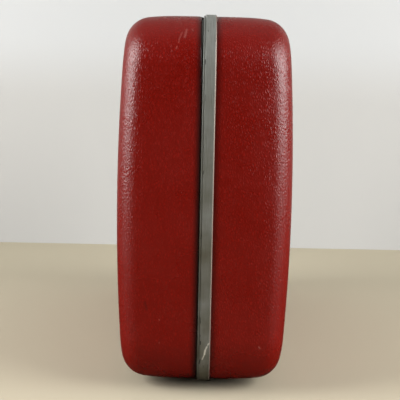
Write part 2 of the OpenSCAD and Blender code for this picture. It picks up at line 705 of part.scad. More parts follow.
// Inside the base: two straps across the clothes, turned over at both ends where they are riveted
lining_u = shell_step + shell_t + lining_gap + lining_t;
strap_tab = 26;
tab_u = lining_u + draft * (strap_y + strap_tab) / base_wall + seat;
module strap(side) {
  color(lining_red) translate([side * strap_x, 0, 0]) {
    translate([-strap_w / 2, strap_y, ground_gap + tab_u])
      cube([strap_w, strap_t, case_height - 2 * tab_u]);
    for (z = [ground_gap + tab_u, top_z - tab_u - strap_t])
      translate([-strap_w / 2, strap_y, z]) cube([strap_w, strap_tab, strap_t]);
  }
}
module strap_buckle(side) {
  color(bright_metal) translate([side * strap_x, strap_y - seat - 3, middle_z]) difference() {
    translate([-strap_w / 2 - 4, 0, -buckle_l / 2]) cube([strap_w + 8, 3, buckle_l]);
    for (z = [-1, 1]) translate([-strap_w / 2, -1, z * buckle_l / 4 - buckle_l / 8])
      cube([strap_w, 5, buckle_l / 4]);
  }
}
module strap_rivets() {
  color(bright_metal) for (s = SIDES) for (end = [-1, 1])
    translate([s[1] * strap_x, strap_y + strap_tab - 8, middle_z + end * (half_h - tab_u - strap_t)])
      rotate([end > 0 ? 180 : 0, 0, 0]) cylinder(d = 2.5 * rivet_d, h = 1.2);
}

// Inside the lid: a flat pocket that follows the lining, with elastic along its top edge
POCKET_COLS = 14;
POCKET_ROWS = 8;
lining_depth = shell_t + lining_gap + lining_t;
pocket_low = pocket_bottom - half_h;
function pocket_point(i, j, depth) = let (
    p = [pocket_l * (i / POCKET_COLS - 0.5), pocket_low + pocket_h * j / POCKET_ROWS]
  ) [p[0], -face_y(p, depth, lid_wall), p[1]];
module lid_pocket() {
  back = lining_depth + seat;
  front = back + pocket_t;
  cols = POCKET_COLS + 1;
  rows = POCKET_ROWS + 1;
  half = cols * rows;
  points = [for (depth = [back, front]) for (j = [0 : POCKET_ROWS]) for (i = [0 : POCKET_COLS])
    pocket_point(i, j, depth)];
  edge = concat(
    [for (i = [0 : POCKET_COLS - 1]) i],
    [for (j = [0 : POCKET_ROWS - 1]) j * cols + POCKET_COLS],
    [for (i = [POCKET_COLS : -1 : 1]) POCKET_ROWS * cols + i],
    [for (j = [POCKET_ROWS : -1 : 1]) j * cols]
  );
  faces = concat(
    [for (first = [0, half]) for (j = [0 : POCKET_ROWS - 1]) for (i = [0 : POCKET_COLS - 1])
      let (a = first + j * cols + i) each two_faces(a, a + 1, a + cols + 1, a + cols, first > 0)],
    [for (i = [0 : len(edge) - 1]) let (a = edge[i], b = edge[(i + 1) % len(edge)])
      each two_faces(a, a + half, b + half, b, false)]
  );
  color(lining_red) translate([0, 0, middle_z]) polyhedron(points, faces);
}
module lid_pocket_elastic() {
  r = elastic_d / 2;
  rings = [for (i = [0 : POCKET_COLS]) let (p = pocket_point(i, POCKET_ROWS, lining_depth)) [
    for (k = [0 : 7]) p + [0, seat + r + r * cos(45 * k), seat + r + r * sin(45 * k)]
  ]];
  color(dark_nylon) translate([0, 0, middle_z])
    polyhedron(flat_list(rings), tube_faces(POCKET_COLS + 1, 8));
}

base_shell();
base_rail();
base_lining();
base_rivets();
base_fitting_rivets();
lid_shell();
lid_rail();
lid_lining();
lid_rivets();
lid_fitting_rivets();
for (p = PLACES) {
  hinge_base_leaf(p[1]);
  hinge_lid_leaf(p[1]);
  hinge_pin(p[1]);
}
for (s = SIDES) {
  handle_bracket(s[1]);
  handle_link(s[1]);
  lock_body(s[1]);
  lock_slider(s[1]);
  key_cylinder(s[1]);
  hasp_base(s[1]);
  hasp(s[1]);
  stay_base_arm(s[1]);
  stay_lid_arm(s[1]);
  stay_elbow_pin(s[1]);
  foot(s[1], 1);
  foot(s[1], -1);
  strap(s[1]);
  strap_buckle(s[1]);
}
handle_pins();
handle_grip();
hasp_pins();
stay_studs_base();
stay_studs_lid();
strap_rivets();
lid_pocket();
lid_pocket_elastic();
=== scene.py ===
# %% [markdown]
# # A moulded suitcase, dressed for its portrait
# The construction of this case is already there: shells, rails, hinges, latches, stays and
# straps come from a imported frame at their real size. This lesson gives each of them the
# surface it has on the real object, and makes anew the pieces that a CAD model draws plainly.
# Everything is in metres. X runs along the hinge, Y across the seam, Z up to the handle.

# %% Load the frame and read the boxes of its parts
import json
import math

import bmesh
import bpy
import numpy as np
from mathutils import Matrix, Vector


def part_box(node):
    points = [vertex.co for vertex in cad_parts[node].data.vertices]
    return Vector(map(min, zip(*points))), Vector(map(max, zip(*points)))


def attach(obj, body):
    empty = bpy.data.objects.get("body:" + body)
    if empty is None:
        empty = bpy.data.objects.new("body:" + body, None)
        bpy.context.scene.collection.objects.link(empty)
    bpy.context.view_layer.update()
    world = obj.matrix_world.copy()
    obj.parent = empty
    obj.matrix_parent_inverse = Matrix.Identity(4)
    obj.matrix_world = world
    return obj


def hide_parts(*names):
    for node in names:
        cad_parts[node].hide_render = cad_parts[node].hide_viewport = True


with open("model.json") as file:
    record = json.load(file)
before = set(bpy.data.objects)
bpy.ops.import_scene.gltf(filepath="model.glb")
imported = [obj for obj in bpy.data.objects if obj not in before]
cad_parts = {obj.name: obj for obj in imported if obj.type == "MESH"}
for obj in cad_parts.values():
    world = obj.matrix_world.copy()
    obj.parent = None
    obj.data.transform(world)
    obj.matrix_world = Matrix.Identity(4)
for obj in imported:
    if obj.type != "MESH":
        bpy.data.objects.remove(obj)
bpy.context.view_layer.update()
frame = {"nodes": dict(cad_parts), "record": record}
MM = 0.001

# %% [markdown]
# ## The camera
# A photograph of a box tells where its camera stood: the outline and the floor's edge give the
# distance, the height and the tilt. The lens is long, so the two sides stay nearly parallel, and
# the camera leans a little over one degree, which is why the seam isn't quite upright.

# %% Set up the camera
def placed(name, data):
    """A new object in the scene that holds the given data."""
    made = bpy.data.objects.new(name, data)
    bpy.context.scene.collection.objects.link(made)
    return made


EYE = Vector((1.319, -0.003, 0.361))
PITCH = math.radians(6.28)
ROLL = math.radians(1.17)
PHOTO_SIDE = 400
FOCAL_PIXELS = 810

forward = Vector((-math.cos(PITCH), 0, -math.sin(PITCH)))
level_right = Vector((0, 1, 0))
level_up = level_right.cross(forward)
camera_right = level_right * math.cos(ROLL) + level_up * math.sin(ROLL)
camera_up = level_up * math.cos(ROLL) - level_right * math.sin(ROLL)

camera = placed("camera", bpy.data.cameras.new("camera"))
camera.data.lens = FOCAL_PIXELS * camera.data.sensor_width / PHOTO_SIDE
camera.matrix_world = Matrix.Translation(EYE) @ Matrix(
    (camera_right, camera_up, -forward)
).transposed().to_4x4()
bpy.context.scene.camera = camera
bpy.context.scene.view_settings.view_transform = "Standard"


def seen_at(pixel, plane_x):
    """The point of the plane x = plane_x that the photograph shows at a pixel."""
    across = (pixel[0] - PHOTO_SIDE / 2) / FOCAL_PIXELS
    upward = (PHOTO_SIDE / 2 - pixel[1]) / FOCAL_PIXELS
    ray = forward + camera_right * across + camera_up * upward
    return EYE + ray * ((plane_x - EYE.x) / ray.x)


print("lens", round(camera.data.lens, 1), "mm")

# %% [markdown]
# ## Nodes and colours
# Materials and Geometry Nodes trees are both built from nodes, so one function adds a node of
# any kind, sets it up and links its inputs. Colours are written as sRGB hex, the way a paint
# program shows them, and one function turns them into the linear light that a shader wants.

# %% Helpers for nodes and materials
def add(tree, kind, sockets=None, **settings):
    """Adds a node. Each entry of sockets is an input and its value, or the output that feeds it."""
    made = tree.nodes.new(kind)
    for name, value in settings.items():
        setattr(made, name, value)
    for key, value in (sockets or {}).items():
        if isinstance(value, bpy.types.NodeSocket):
            tree.links.new(value, made.inputs[key])
        else:
            made.inputs[key].default_value = value
    return made


def colour(hex_code):
    """An sRGB hex colour as linear red, green, blue and alpha."""
    values = [int(hex_code[i : i + 2], 16) / 255 for i in (1, 3, 5)]
    linear = [v / 12.92 if v <= 0.04045 else ((v + 0.055) / 1.055) ** 2.4 for v in values]
    return (*linear, 1)


def new_material(name):
    """An empty material, its tree, and the Object coordinates that its patterns read."""
    material = bpy.data.materials.new(name)
    material.use_nodes = True
    material.node_tree.nodes.clear()
    return material, material.node_tree, add(material.node_tree, "ShaderNodeTexCoord").outputs["Object"]


def end_material(tree, inputs):
    """Ends a material's tree with its shader, whose inputs are fed or set, and the output."""
    shader = add(tree, "ShaderNodeBsdfPrincipled", inputs)
    add(tree, "ShaderNodeOutputMaterial", {"Surface": shader.outputs[0]})


print("the hex colour #808080 is", round(colour("#808080")[0], 3), "in linear light")

# %% [markdown]
# ## Marks of use
# The near end has been knocked and rubbed: pale scuffs near the top, a smudge low on the lid,
# scratches down to bare metal on the band and dirt in the seam. They could be painted on an
# image, but a mask that is worked out needs no file and stays sharp from any distance. Each mark
# is a short stroke. Its two ends are read off the photograph in pixels, and the camera tells
# which point of the near end they are. The mask is then just the distance to the stroke's line.

# %% A mask from strokes
NEAR_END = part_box("base_rail")[1].x
# Depth counts little for a mark's place, so that marks also lie on the round corners
FLATTENED = Vector((0.03, 1, 1))
# A stroke is at its full strength up to this share of its half width
FULL_SHARE = 0.2


def marks(tree, place, strokes):
    """A mask with the strength of each stroke along its line, fading to 0 beside it.

    A stroke is its two ends in pixels, its half width in millimetres and its strength.
    """
    flat = add(tree, "ShaderNodeVectorMath", {0: place, 1: FLATTENED}, operation="MULTIPLY")
    total = None
    for start_pixel, end_pixel, half_width, strength in strokes:
        start, end = (seen_at(pixel, NEAR_END) * FLATTENED for pixel in (start_pixel, end_pixel))
        line = end - start
        from_start = add(tree, "ShaderNodeVectorMath", {
            0: flat.outputs[0], 1: start}, operation="SUBTRACT").outputs[0]
        along = add(tree, "ShaderNodeVectorMath", {
            0: from_start, 1: line / line.length_squared}, operation="DOT_PRODUCT")
        share = add(tree, "ShaderNodeClamp", {0: along.outputs["Value"]})
        foot = add(tree, "ShaderNodeVectorMath", {0: line, "Scale": share.outputs[0]}, operation="SCALE")
        away = add(tree, "ShaderNodeVectorMath", {
            0: from_start, 1: foot.outputs[0]}, operation="DISTANCE")
        stroke = add(tree, "ShaderNodeMapRange", {
            "Value": away.outputs["Value"], "From Min": FULL_SHARE * half_width * MM,
            "From Max": half_width * MM, "To Min": strength, "To Max": 0.0},
            interpolation_type="SMOOTHSTEP").outputs[0]
        total = stroke if total is None else add(
            tree, "ShaderNodeMath", {0: total, 1: stroke}, operation="MAXIMUM").outputs[0]
    return total


print("the near end lies at x =", round(NEAR_END, 3))

# %% [markdown]
# ## The shells' plastic
# The shells are ABS, moulded with a leather grain. The grain is a net of fine valleys round
# pebbles that are taller than wide. It could be a real relief, but that takes millions of faces,
# so a bump shows it. A texture of random cells has such valleys between its cells, and a slow
# noise bends the net so that it never looks like a grid. The plastic's gloss is that of satin: a
# window shows as a broad soft glow with sparkles, where single pebbles catch it. The red is in
# the plastic itself, so a scratch is only paler, never bare.

# %% The grain's sizes, the reds and the marks
PEBBLE_WIDTH = 2.6 * MM
PEBBLE_HEIGHT = 5.0 * MM
PEBBLE_RELIEF = 0.28 * MM
PORE = 0.5 * MM
BEND_EVERY = 9 * MM
BEND_BY = 1.2 * MM
CLOUD = 60 * MM
# How far a valley's slope reaches into a pebble, as a share of the cell's width
SLOPE_SHARE = 0.45
SATIN_GLOSS = (0.25, 0.31)
ABS_IOR = 1.47
ABS_RED = "#7A0900"
ABS_DEEP = "#660600"
ABS_SCUFFED = "#B87A72"
ABS_SMUDGED = "#4A0C07"
# Near black red, for the painted shade and grime beside the band
ABS_SHADED_GRIMY = "#1A0302"
SCUFFS = [((182, 31), (179, 38), 1.6, 0.14), ((179, 38), (178.5, 42), 1.4, 0.14),
          ((186.4, 28), (184.6, 36), 2.4, 0.17), ((177, 46), (176, 48), 1.2, 0.2),
          ((191.5, 27), (193, 29), 1.2, 0.3), ((159, 320), (159.4, 321), 1.0, 0.2),
          ((159, 343), (159, 344), 1.0, 0.16), ((259, 348), (260.5, 350), 1.2, 0.3)]
SMUDGES = [((144.5, 303), (146.5, 310), 2.2, 0.6), ((134, 327), (132, 333), 4.0, 0.2)]
# Beside the metal the grain fades and the red darkens: painted shade, where the band blocks the side light,
# and grime. On each half it starts at a place across the seam, has faded at another, and is as strong as
# the third number says
BAND_SHADE_AND_GRIME = [(13.5 * MM, 24 * MM, 0.5), (-3.7 * MM, -14 * MM, 0.9)]
print("marks on the plastic:", len(SCUFFS), "scuffs and", len(SMUDGES), "smudges")

# %% Moulded ABS with a leather grain
def shade_and_grime_share(tree, across):
    """How much painted shade and grime each place has, from how far it lies across the seam."""
    shares = []
    for start, end, strength in BAND_SHADE_AND_GRIME:
        fade = add(tree, "ShaderNodeMapRange", {
            "Value": across, "From Min": start, "From Max": end, "To Min": strength, "To Max": 0.0},
            interpolation_type="SMOOTHSTEP")
        # Past the seam the fade holds its full value, so it's kept to its own half
        own = add(tree, "ShaderNodeMath", {
            0: across, 1: math.copysign(1e6, start)}, operation="MULTIPLY", use_clamp=True)
        shares.append(add(tree, "ShaderNodeMath", {
            0: fade.outputs[0], 1: own.outputs[0]}, operation="MULTIPLY").outputs[0])
    return add(tree, "ShaderNodeMath", {0: shares[0], 1: shares[1]}, operation="MAXIMUM").outputs[0]


def moulded_abs():
    """The shells' red plastic with its leather grain, its marks, and painted shade and grime beside the
    band.
    """
    material, tree, place = new_material("moulded_abs_leather_grain")
    drift = add(tree, "ShaderNodeTexNoise", {"Vector": place, "Scale": 1 / BEND_EVERY, "Detail": 1.0})
    shifted = add(tree, "ShaderNodeVectorMath", {
        0: drift.outputs["Color"], 1: (BEND_BY, BEND_BY, BEND_BY), 2: place}, operation="MULTIPLY_ADD")
    cells = add(tree, "ShaderNodeMapping", {
        "Vector": shifted.outputs[0],
        "Scale": (1 / PEBBLE_WIDTH, 1 / PEBBLE_WIDTH, 1 / PEBBLE_HEIGHT)})
    valleys = add(tree, "ShaderNodeTexVoronoi", {
        "Vector": cells.outputs[0], "Scale": 1.0, "Randomness": 1.0}, feature="DISTANCE_TO_EDGE")
    pebbles = add(tree, "ShaderNodeMapRange", {
        "Value": valleys.outputs["Distance"], "From Min": 0.0, "From Max": SLOPE_SHARE},
        interpolation_type="SMOOTHSTEP")
    pores = add(tree, "ShaderNodeTexNoise", {"Vector": place, "Scale": 1 / PORE, "Detail": 1.0})
    height = add(tree, "ShaderNodeMath", {
        0: pores.outputs["Fac"], 1: 0.5, 2: pebbles.outputs[0]}, operation="MULTIPLY_ADD")
    clouds = add(tree, "ShaderNodeTexNoise", {"Vector": place, "Scale": 1 / CLOUD, "Detail": 3.0})
    shade = add(tree, "ShaderNodeMath", {
        0: clouds.outputs["Fac"], 1: 0.5, 2: pebbles.outputs[0]}, operation="MULTIPLY_ADD")
    tone = add(tree, "ShaderNodeMapRange", {"Value": shade.outputs[0], "From Min": 0.1, "From Max": 1.3})
    body = add(tree, "ShaderNodeMix", {
        0: tone.outputs[0], 6: colour(ABS_DEEP), 7: colour(ABS_RED)}, data_type="RGBA")
    scuffed = add(tree, "ShaderNodeMix", {
        0: marks(tree, place, SCUFFS), 6: body.outputs[2], 7: colour(ABS_SCUFFED)}, data_type="RGBA")
    smudged = add(tree, "ShaderNodeMix", {
        0: marks(tree, place, SMUDGES), 6: scuffed.outputs[2], 7: colour(ABS_SMUDGED)}, data_type="RGBA")
    # Painted shade and grime beside the band darken the red and smooth the grain
    shade_and_grime = shade_and_grime_share(tree, add(tree, "ShaderNodeSeparateXYZ", {0: place}).outputs["Y"])
    tint = add(tree, "ShaderNodeMix", {
        0: shade_and_grime, 6: smudged.outputs[2], 7: colour(ABS_SHADED_GRIMY)}, data_type="RGBA")
    smooth = add(tree, "ShaderNodeMapRange", {"Value": shade_and_grime, "To Min": 0.8, "To Max": 0.1})
    bump = add(tree, "ShaderNodeBump", {
        "Height": height.outputs[0], "Distance": PEBBLE_RELIEF, "Strength": smooth.outputs[0]})
    gloss = add(tree, "ShaderNodeMapRange", {
        "Value": clouds.outputs["Fac"], "From Min": 0.3, "From Max": 0.7,
        "To Min": SATIN_GLOSS[0], "To Max": SATIN_GLOSS[1]})
    end_material(tree, {"Base Color": tint.outputs[2], "Roughness": gloss.outputs[0],
                        "Normal": bump.outputs[0], "IOR": ABS_IOR})
    return material


ABS = moulded_abs()
print(ABS.name, "has", len(ABS.node_tree.nodes), "nodes")

# %% [markdown]
# ## The metals
# The latches, hinges, buckles and handle links are steel with a nickel plating. The pins and
# rivets are turned or headed steel, and the arms of the lid's stays are cold rolled strip. Each
# could have a tree of its own, but one steel differs from the next only in its colour, its
# roughness and the direction of its fine marks, so one function makes all three.

# %% Plated, turned and rolled steel
WORN_PATCH = 25 * MM
FINE_MARKS = 0.02 * MM


def steel(name, clean, worn, rough, streak):
    """A steel whose colour and roughness wander from clean to worn in patches and fine streaks."""
    material, tree, place = new_material(name)
    fine = add(tree, "ShaderNodeMapping", {"Vector": place, "Scale": tuple(1 / s for s in streak)})
    brushed = add(tree, "ShaderNodeTexNoise", {"Vector": fine.outputs[0], "Scale": 1.0, "Detail": 2.0})
    worn_away = add(tree, "ShaderNodeTexNoise", {"Vector": place, "Scale": 1 / WORN_PATCH, "Detail": 4.0})
    mixed = add(tree, "ShaderNodeMath", {
        0: brushed.outputs["Fac"], 1: 0.35, 2: worn_away.outputs["Fac"]}, operation="MULTIPLY_ADD")
    wear = add(tree, "ShaderNodeMapRange", {"Value": mixed.outputs[0], "From Min": 0.45, "From Max": 0.9})
    tint = add(tree, "ShaderNodeMix", {
        0: wear.outputs[0], 6: colour(clean), 7: colour(worn)}, data_type="RGBA")
    dull = add(tree, "ShaderNodeMapRange", {
        "Value": wear.outputs[0], "To Min": rough[0], "To Max": rough[1]})
    bump = add(tree, "ShaderNodeBump", {
        "Height": brushed.outputs["Fac"], "Distance": FINE_MARKS, "Strength": 0.5})
    end_material(tree, {"Base Color": tint.outputs[2], "Roughness": dull.outputs[0],
                        "Normal": bump.outputs[0], "Metallic": 1.0})
    return material


# Plating is the brightest and smoothest, and wears to soft duller patches
PLATED = steel("nickel_plated_steel", "#C9C8C4", "#A9A69F", (0.16, 0.32), (3 * MM, 3 * MM, 3 * MM))
# Pins are turned from drawn rod, whose fine lines run along it, and most of them lie along X
TURNED = steel("turned_steel", "#B9B7B2", "#8F8B84", (0.26, 0.42), (4 * MM, 0.4 * MM, 0.4 * MM))
# Rolled strip is duller, with faint long lines
ARM_STEEL = steel(
    "cold_rolled_steel", "#B4B2AD", "#8E8A83", (0.28, 0.45), (0.5 * MM, 0.5 * MM, 9 * MM))
print("steels:", PLATED.name, TURNED.name, ARM_STEEL.name)

# %% [markdown]
# ## The band's metal
# The band is rolled aluminium, brushed along its length and then dulled by years of hands and
# air, so it is grey with a soft streak and hardly a mirror. Its brushing follows it round
# the corners, where streaks on plain coordinates would run straight on. So the sweep further
# down leaves two numbers on each point of the rail, how far along the frame it lies and how far
# across the section, and the pattern reads those and bends with the metal. The band is
# scratched and dirt has settled along the seam. Low down its grey turns darker and olive brown
# in patches, which is a painted reflection of the warm floor.

# %% The band's greys and its marks
BAND_GREY = "#A7AAA6"
BAND_DARK = "#81837C"
BAND_FLOOR_REFLECTION_TINT = "#5E5740"
BAND_WORN = "#F2EFE4"
# Near black, for spots of dirt and for the painted shade down in the open groove
BAND_DIRT_AND_GROOVE_SHADE = "#15120F"
# The bevel's pinkish grey is a painted reflection of the red plastic beside it
BEVEL_MIRRORED_RED_TINT = "#8A7B72"
BEVEL_FROM = 12.3 * MM
STRIP_EDGE = -2.3 * MM
STREAK_LENGTH = 26 * MM
STREAK_WIDTH = 0.8 * MM
STREAK_DEPTH = 0.03 * MM
GREY_PATCH = 34 * MM
# Below these heights the grey takes the painted reflection of the warm floor, in part and then in full
FLOOR_TINT_BELOW = 420 * MM
FULL_FLOOR_TINT_BELOW = 180 * MM
BAND_GLOSS = (0.36, 0.52)
BEVEL_GLOSS = 0.62
# Its dull skin of oxide makes the band less of a mirror than bare metal
BARE_SHARE = 0.6
# Strokes again: bare scratches near the floor, and spots of dirt, most of them in the seam
SCRATCHES = [((206.8, 347), (205.2, 350.5), 1.6, 0.8), ((205.2, 350.5), (204.4, 355), 1.8, 1.0),
             ((204.4, 355), (202.2, 360.5), 1.3, 0.8), ((208.6, 343.6), (207.8, 345.2), 1.1, 0.9)]
DIRT = [((208.3, 28.6), (208.4, 30), 1.1, 0.7), ((205.2, 60), (205.5, 64), 1.0, 0.7),
        ((200.2, 318), (200.4, 323), 0.9, 0.7), ((200.4, 341.5), (200.3, 344.5), 1.0, 0.9),
        ((200.3, 335), (200.2, 337), 0.9, 0.5), ((200, 361), (199, 366), 1.2, 0.8),
        ((203.6, 171), (203.4, 174), 0.9, 0.6), ((216.2, 37), (215.8, 41), 0.7, 0.5),
        ((203.3, 368), (203.6, 371), 0.9, 0.4), ((207.4, 367), (207.2, 373), 0.9, 0.5),
        ((201.2, 235), (201, 239), 0.8, 0.5), ((205.6, 95), (205.2, 101), 0.7, 0.4)]
print("marks on the band:", len(SCRATCHES), "scratches and", len(DIRT), "spots of dirt")

# %% Dulled rolled aluminium
def rolled_aluminium():
    """The band's dulled metal, whose streaks follow the rail round its corners."""
    material, tree, place = new_material("rolled_aluminium_dulled")
    along = add(tree, "ShaderNodeAttribute", attribute_name="along")
    across = add(tree, "ShaderNodeAttribute", attribute_name="across")
    where = add(tree, "ShaderNodeCombineXYZ", {
        0: along.outputs["Fac"], 1: across.outputs["Fac"], 2: 0.0})
    stretched = add(tree, "ShaderNodeMapping", {
        "Vector": where.outputs[0], "Scale": (1 / STREAK_LENGTH, 1 / STREAK_WIDTH, 1.0)})
    brushed = add(tree, "ShaderNodeTexNoise", {
        "Vector": stretched.outputs[0], "Scale": 1.0, "Detail": 3.0}, noise_dimensions="2D")
    patches = add(tree, "ShaderNodeTexNoise", {"Vector": place, "Scale": 1 / GREY_PATCH, "Detail": 4.0})
    mixed = add(tree, "ShaderNodeMath", {
        0: brushed.outputs["Fac"], 1: 0.6, 2: patches.outputs["Fac"]}, operation="MULTIPLY_ADD")
    wear = add(tree, "ShaderNodeMapRange", {"Value": mixed.outputs[0], "From Min": 0.55, "From Max": 1.05})
    grey = add(tree, "ShaderNodeMix", {
        0: wear.outputs[0], 6: colour(BAND_GREY), 7: colour(BAND_DARK)}, data_type="RGBA")
    # Painted reflection of the warm floor: darker and olive brown in patches towards the bottom
    low = add(tree, "ShaderNodeMapRange", {
        "Value": add(tree, "ShaderNodeSeparateXYZ", {0: place}).outputs["Z"],
        "From Min": FULL_FLOOR_TINT_BELOW, "From Max": FLOOR_TINT_BELOW, "To Min": 1.0, "To Max": 0.0})
    floor_tint_share = add(tree, "ShaderNodeMath", {
        0: low.outputs[0], 1: patches.outputs["Fac"]}, operation="MULTIPLY")
    floor_tinted = add(tree, "ShaderNodeMix", {
        0: floor_tint_share.outputs[0], 6: grey.outputs[2], 7: colour(BAND_FLOOR_REFLECTION_TINT)}, data_type="RGBA")
    on_bevel = add(tree, "ShaderNodeMapRange", {
        "Value": across.outputs["Fac"], "From Min": BEVEL_FROM, "From Max": BEVEL_FROM + 0.3 * MM})
    # Painted reflection: the bevel takes the pinkish grey
    bevelled = add(tree, "ShaderNodeMix", {
        0: on_bevel.outputs[0], 6: floor_tinted.outputs[2], 7: colour(BEVEL_MIRRORED_RED_TINT)}, data_type="RGBA")
    scratched = add(tree, "ShaderNodeMix", {
        0: marks(tree, place, SCRATCHES), 6: bevelled.outputs[2], 7: colour(BAND_WORN)}, data_type="RGBA")
    dirty = add(tree, "ShaderNodeMix", {
        0: marks(tree, place, DIRT), 6: scratched.outputs[2], 7: colour(BAND_DIRT_AND_GROOVE_SHADE)}, data_type="RGBA")
    # The narrow rail's side, down in the open groove, is painted black as shade, but not its flange inside
    past_edge = add(tree, "ShaderNodeMapRange", {
        "Value": across.outputs["Fac"], "From Min": STRIP_EDGE, "From Max": STRIP_EDGE - 0.1 * MM})
    groove_shade_share = add(tree, "ShaderNodeMapRange", {
        "Value": across.outputs["Fac"], "From Min": STRIP_EDGE - 0.4 * MM,
        "From Max": STRIP_EDGE - 0.2 * MM, "To Min": 0.0, "To Max": past_edge.outputs[0]})
    groove_shaded = add(tree, "ShaderNodeMix", {
        0: groove_shade_share.outputs[0], 6: dirty.outputs[2], 7: colour(BAND_DIRT_AND_GROOVE_SHADE)}, data_type="RGBA")
    flat_dull = add(tree, "ShaderNodeMapRange", {
        "Value": wear.outputs[0], "To Min": BAND_GLOSS[0], "To Max": BAND_GLOSS[1]})
    dull = add(tree, "ShaderNodeMapRange", {
        "Value": on_bevel.outputs[0], "To Min": flat_dull.outputs[0], "To Max": BEVEL_GLOSS})
    bump = add(tree, "ShaderNodeBump", {
        "Height": brushed.outputs["Fac"], "Distance": STREAK_DEPTH, "Strength": 0.6})
    end_material(tree, {"Base Color": groove_shaded.outputs[2], "Roughness": dull.outputs[0],
                        "Normal": bump.outputs[0], "Metallic": BARE_SHARE})
    return material


ALUMINIUM = rolled_aluminium()
print(ALUMINIUM.name, "has", len(ALUMINIUM.node_tree.nodes), "nodes")

# %% [markdown]
# ## Cloth and webbing
# The lining and the pocket are thin satin, and the straps are thick woven bands. Threads could
# be modelled, but there are far too many. Two sets of them cross, so two waves at right angles
# are multiplied. Real satin has threads finer than 0.2 mm, which no pixel here could show, so
# both weaves are drawn as coarse as they need to be seen.

# %% Woven finishes
FADED_PATCH = 30 * MM
# A wave texture of scale 1 has a band every 2 pi / 20 metres
WAVE_AT_SCALE_1 = 2 * math.pi / 20


def woven(name, thread, gap, pitch, rough, relief):
    """Cloth whose two sets of threads cross at a real pitch."""
    material, tree, place = new_material(name)
    heights = []
    for direction in ("X", "Z"):
        wave = add(tree, "ShaderNodeTexWave", {
            "Vector": place, "Scale": WAVE_AT_SCALE_1 / pitch, "Distortion": 0.6, "Detail": 1.0},
            wave_type="BANDS", bands_direction=direction)
        heights.append(wave.outputs["Fac"])
    weave = add(tree, "ShaderNodeMath", {0: heights[0], 1: heights[1]}, operation="MULTIPLY")
    clouds = add(tree, "ShaderNodeTexNoise", {"Vector": place, "Scale": 1 / FADED_PATCH, "Detail": 3.0})
    tone = add(tree, "ShaderNodeMath", {
        0: clouds.outputs["Fac"], 1: 0.7, 2: weave.outputs[0]}, operation="MULTIPLY_ADD")
    tint = add(tree, "ShaderNodeMix", {
        0: tone.outputs[0], 6: colour(gap), 7: colour(thread)}, data_type="RGBA")
    bump = add(tree, "ShaderNodeBump", {"Height": weave.outputs[0], "Distance": relief, "Strength": 0.6})
    end_material(tree, {"Base Color": tint.outputs[2], "Roughness": rough, "Normal": bump.outputs[0],
                        "Sheen Weight": 0.35, "Sheen Roughness": 0.4})
    return material


# Satin's long threads lie flat, which gives it a soft shine
SATIN = woven("lining_satin", "#7E2A2C", "#5A181B", 1.6 * MM, 0.42, 0.05 * MM)
POCKET_CLOTH = woven("gathered_satin", "#86302F", "#5E1B1D", 1.6 * MM, 0.4, 0.06 * MM)
# Webbing is thick and matt, with ribs that can be felt
WEBBING = woven("woven_elastic_webbing", "#5C191B", "#370C0E", 2.2 * MM, 0.7, 0.3 * MM)
print("cloths:", SATIN.name, POCKET_CLOTH.name, WEBBING.name)

# %% [markdown]
# ## The dark plastics
# The grip is moulded in the shells' colour with a finer grain that a hand wears smooth, and the
# feet are black nylon, which is dull. Both have a small even grain, so one function makes both
# from a texture of small cells, which are finer on the nylon.

# %% Moulded finishes
DARKER_PATCH = 18 * MM


def moulded(name, light, dark, grain, relief, rough):
    """A moulded plastic with a fine even grain."""
    material, tree, place = new_material(name)
    cells = add(tree, "ShaderNodeTexVoronoi", {
        "Vector": place, "Scale": 1 / grain}, feature="DISTANCE_TO_EDGE")
    pebbles = add(tree, "ShaderNodeMapRange", {
        "Value": cells.outputs["Distance"], "From Min": 0.0, "From Max": 0.3},
        interpolation_type="SMOOTHSTEP")
    clouds = add(tree, "ShaderNodeTexNoise", {"Vector": place, "Scale": 1 / DARKER_PATCH, "Detail": 3.0})
    tone = add(tree, "ShaderNodeMath", {
        0: clouds.outputs["Fac"], 1: 0.8, 2: pebbles.outputs[0]}, operation="MULTIPLY_ADD")
    shade = add(tree, "ShaderNodeMapRange", {"Value": tone.outputs[0], "From Min": 0.2, "From Max": 1.5})
    tint = add(tree, "ShaderNodeMix", {
        0: shade.outputs[0], 6: colour(dark), 7: colour(light)}, data_type="RGBA")
    dull = add(tree, "ShaderNodeMapRange", {
        "Value": clouds.outputs["Fac"], "To Min": rough[0], "To Max": rough[1]})
    bump = add(tree, "ShaderNodeBump", {
        "Height": pebbles.outputs[0], "Distance": relief, "Strength": 0.7})
    end_material(tree, {"Base Color": tint.outputs[2], "Roughness": dull.outputs[0],
                        "Normal": bump.outputs[0]})
    return material


GRIP_PLASTIC = moulded("moulded_grip_plastic", "#76150E", "#520B07", 1.3 * MM, 0.12 * MM, (0.3, 0.45))
NYLON = moulded("moulded_nylon", "#2B2827", "#161413", 0.8 * MM, 0.05 * MM, (0.45, 0.6))
print("plastics:", ABS.name, GRIP_PLASTIC.name, NYLON.name)

# %% [markdown]
# ## A finished piece
# Every piece that this file makes ends the same way: a plain mesh at the origin, one material, a
# CAD body to ride on, and the node it stands for, which is hidden. The record knows a node's
# body, so one call needs only the node. Smooth shading stops at creases, so that a rounded edge
# looks round and a cut edge stays crisp.

# %% Finish a piece
CREASE = math.radians(38)
record = frame["record"]
BODY_OF = {node: body for body, nodes in record["behaviour"]["bodies"].items() for node in nodes}


def finish_piece(piece, node, material=None, crease=CREASE):
    """Shades a piece and puts it in the place of its CAD node, on the node's body."""
    if material is not None:
        piece.data.materials.clear()
        piece.data.materials.append(material)
    piece.data.shade_smooth()
    piece.data.set_sharp_from_angle(angle=crease)
    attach(piece, BODY_OF[node])
    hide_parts(node)
    return piece


print("creases sharper than", round(math.degrees(CREASE)), "degrees stay crisp")

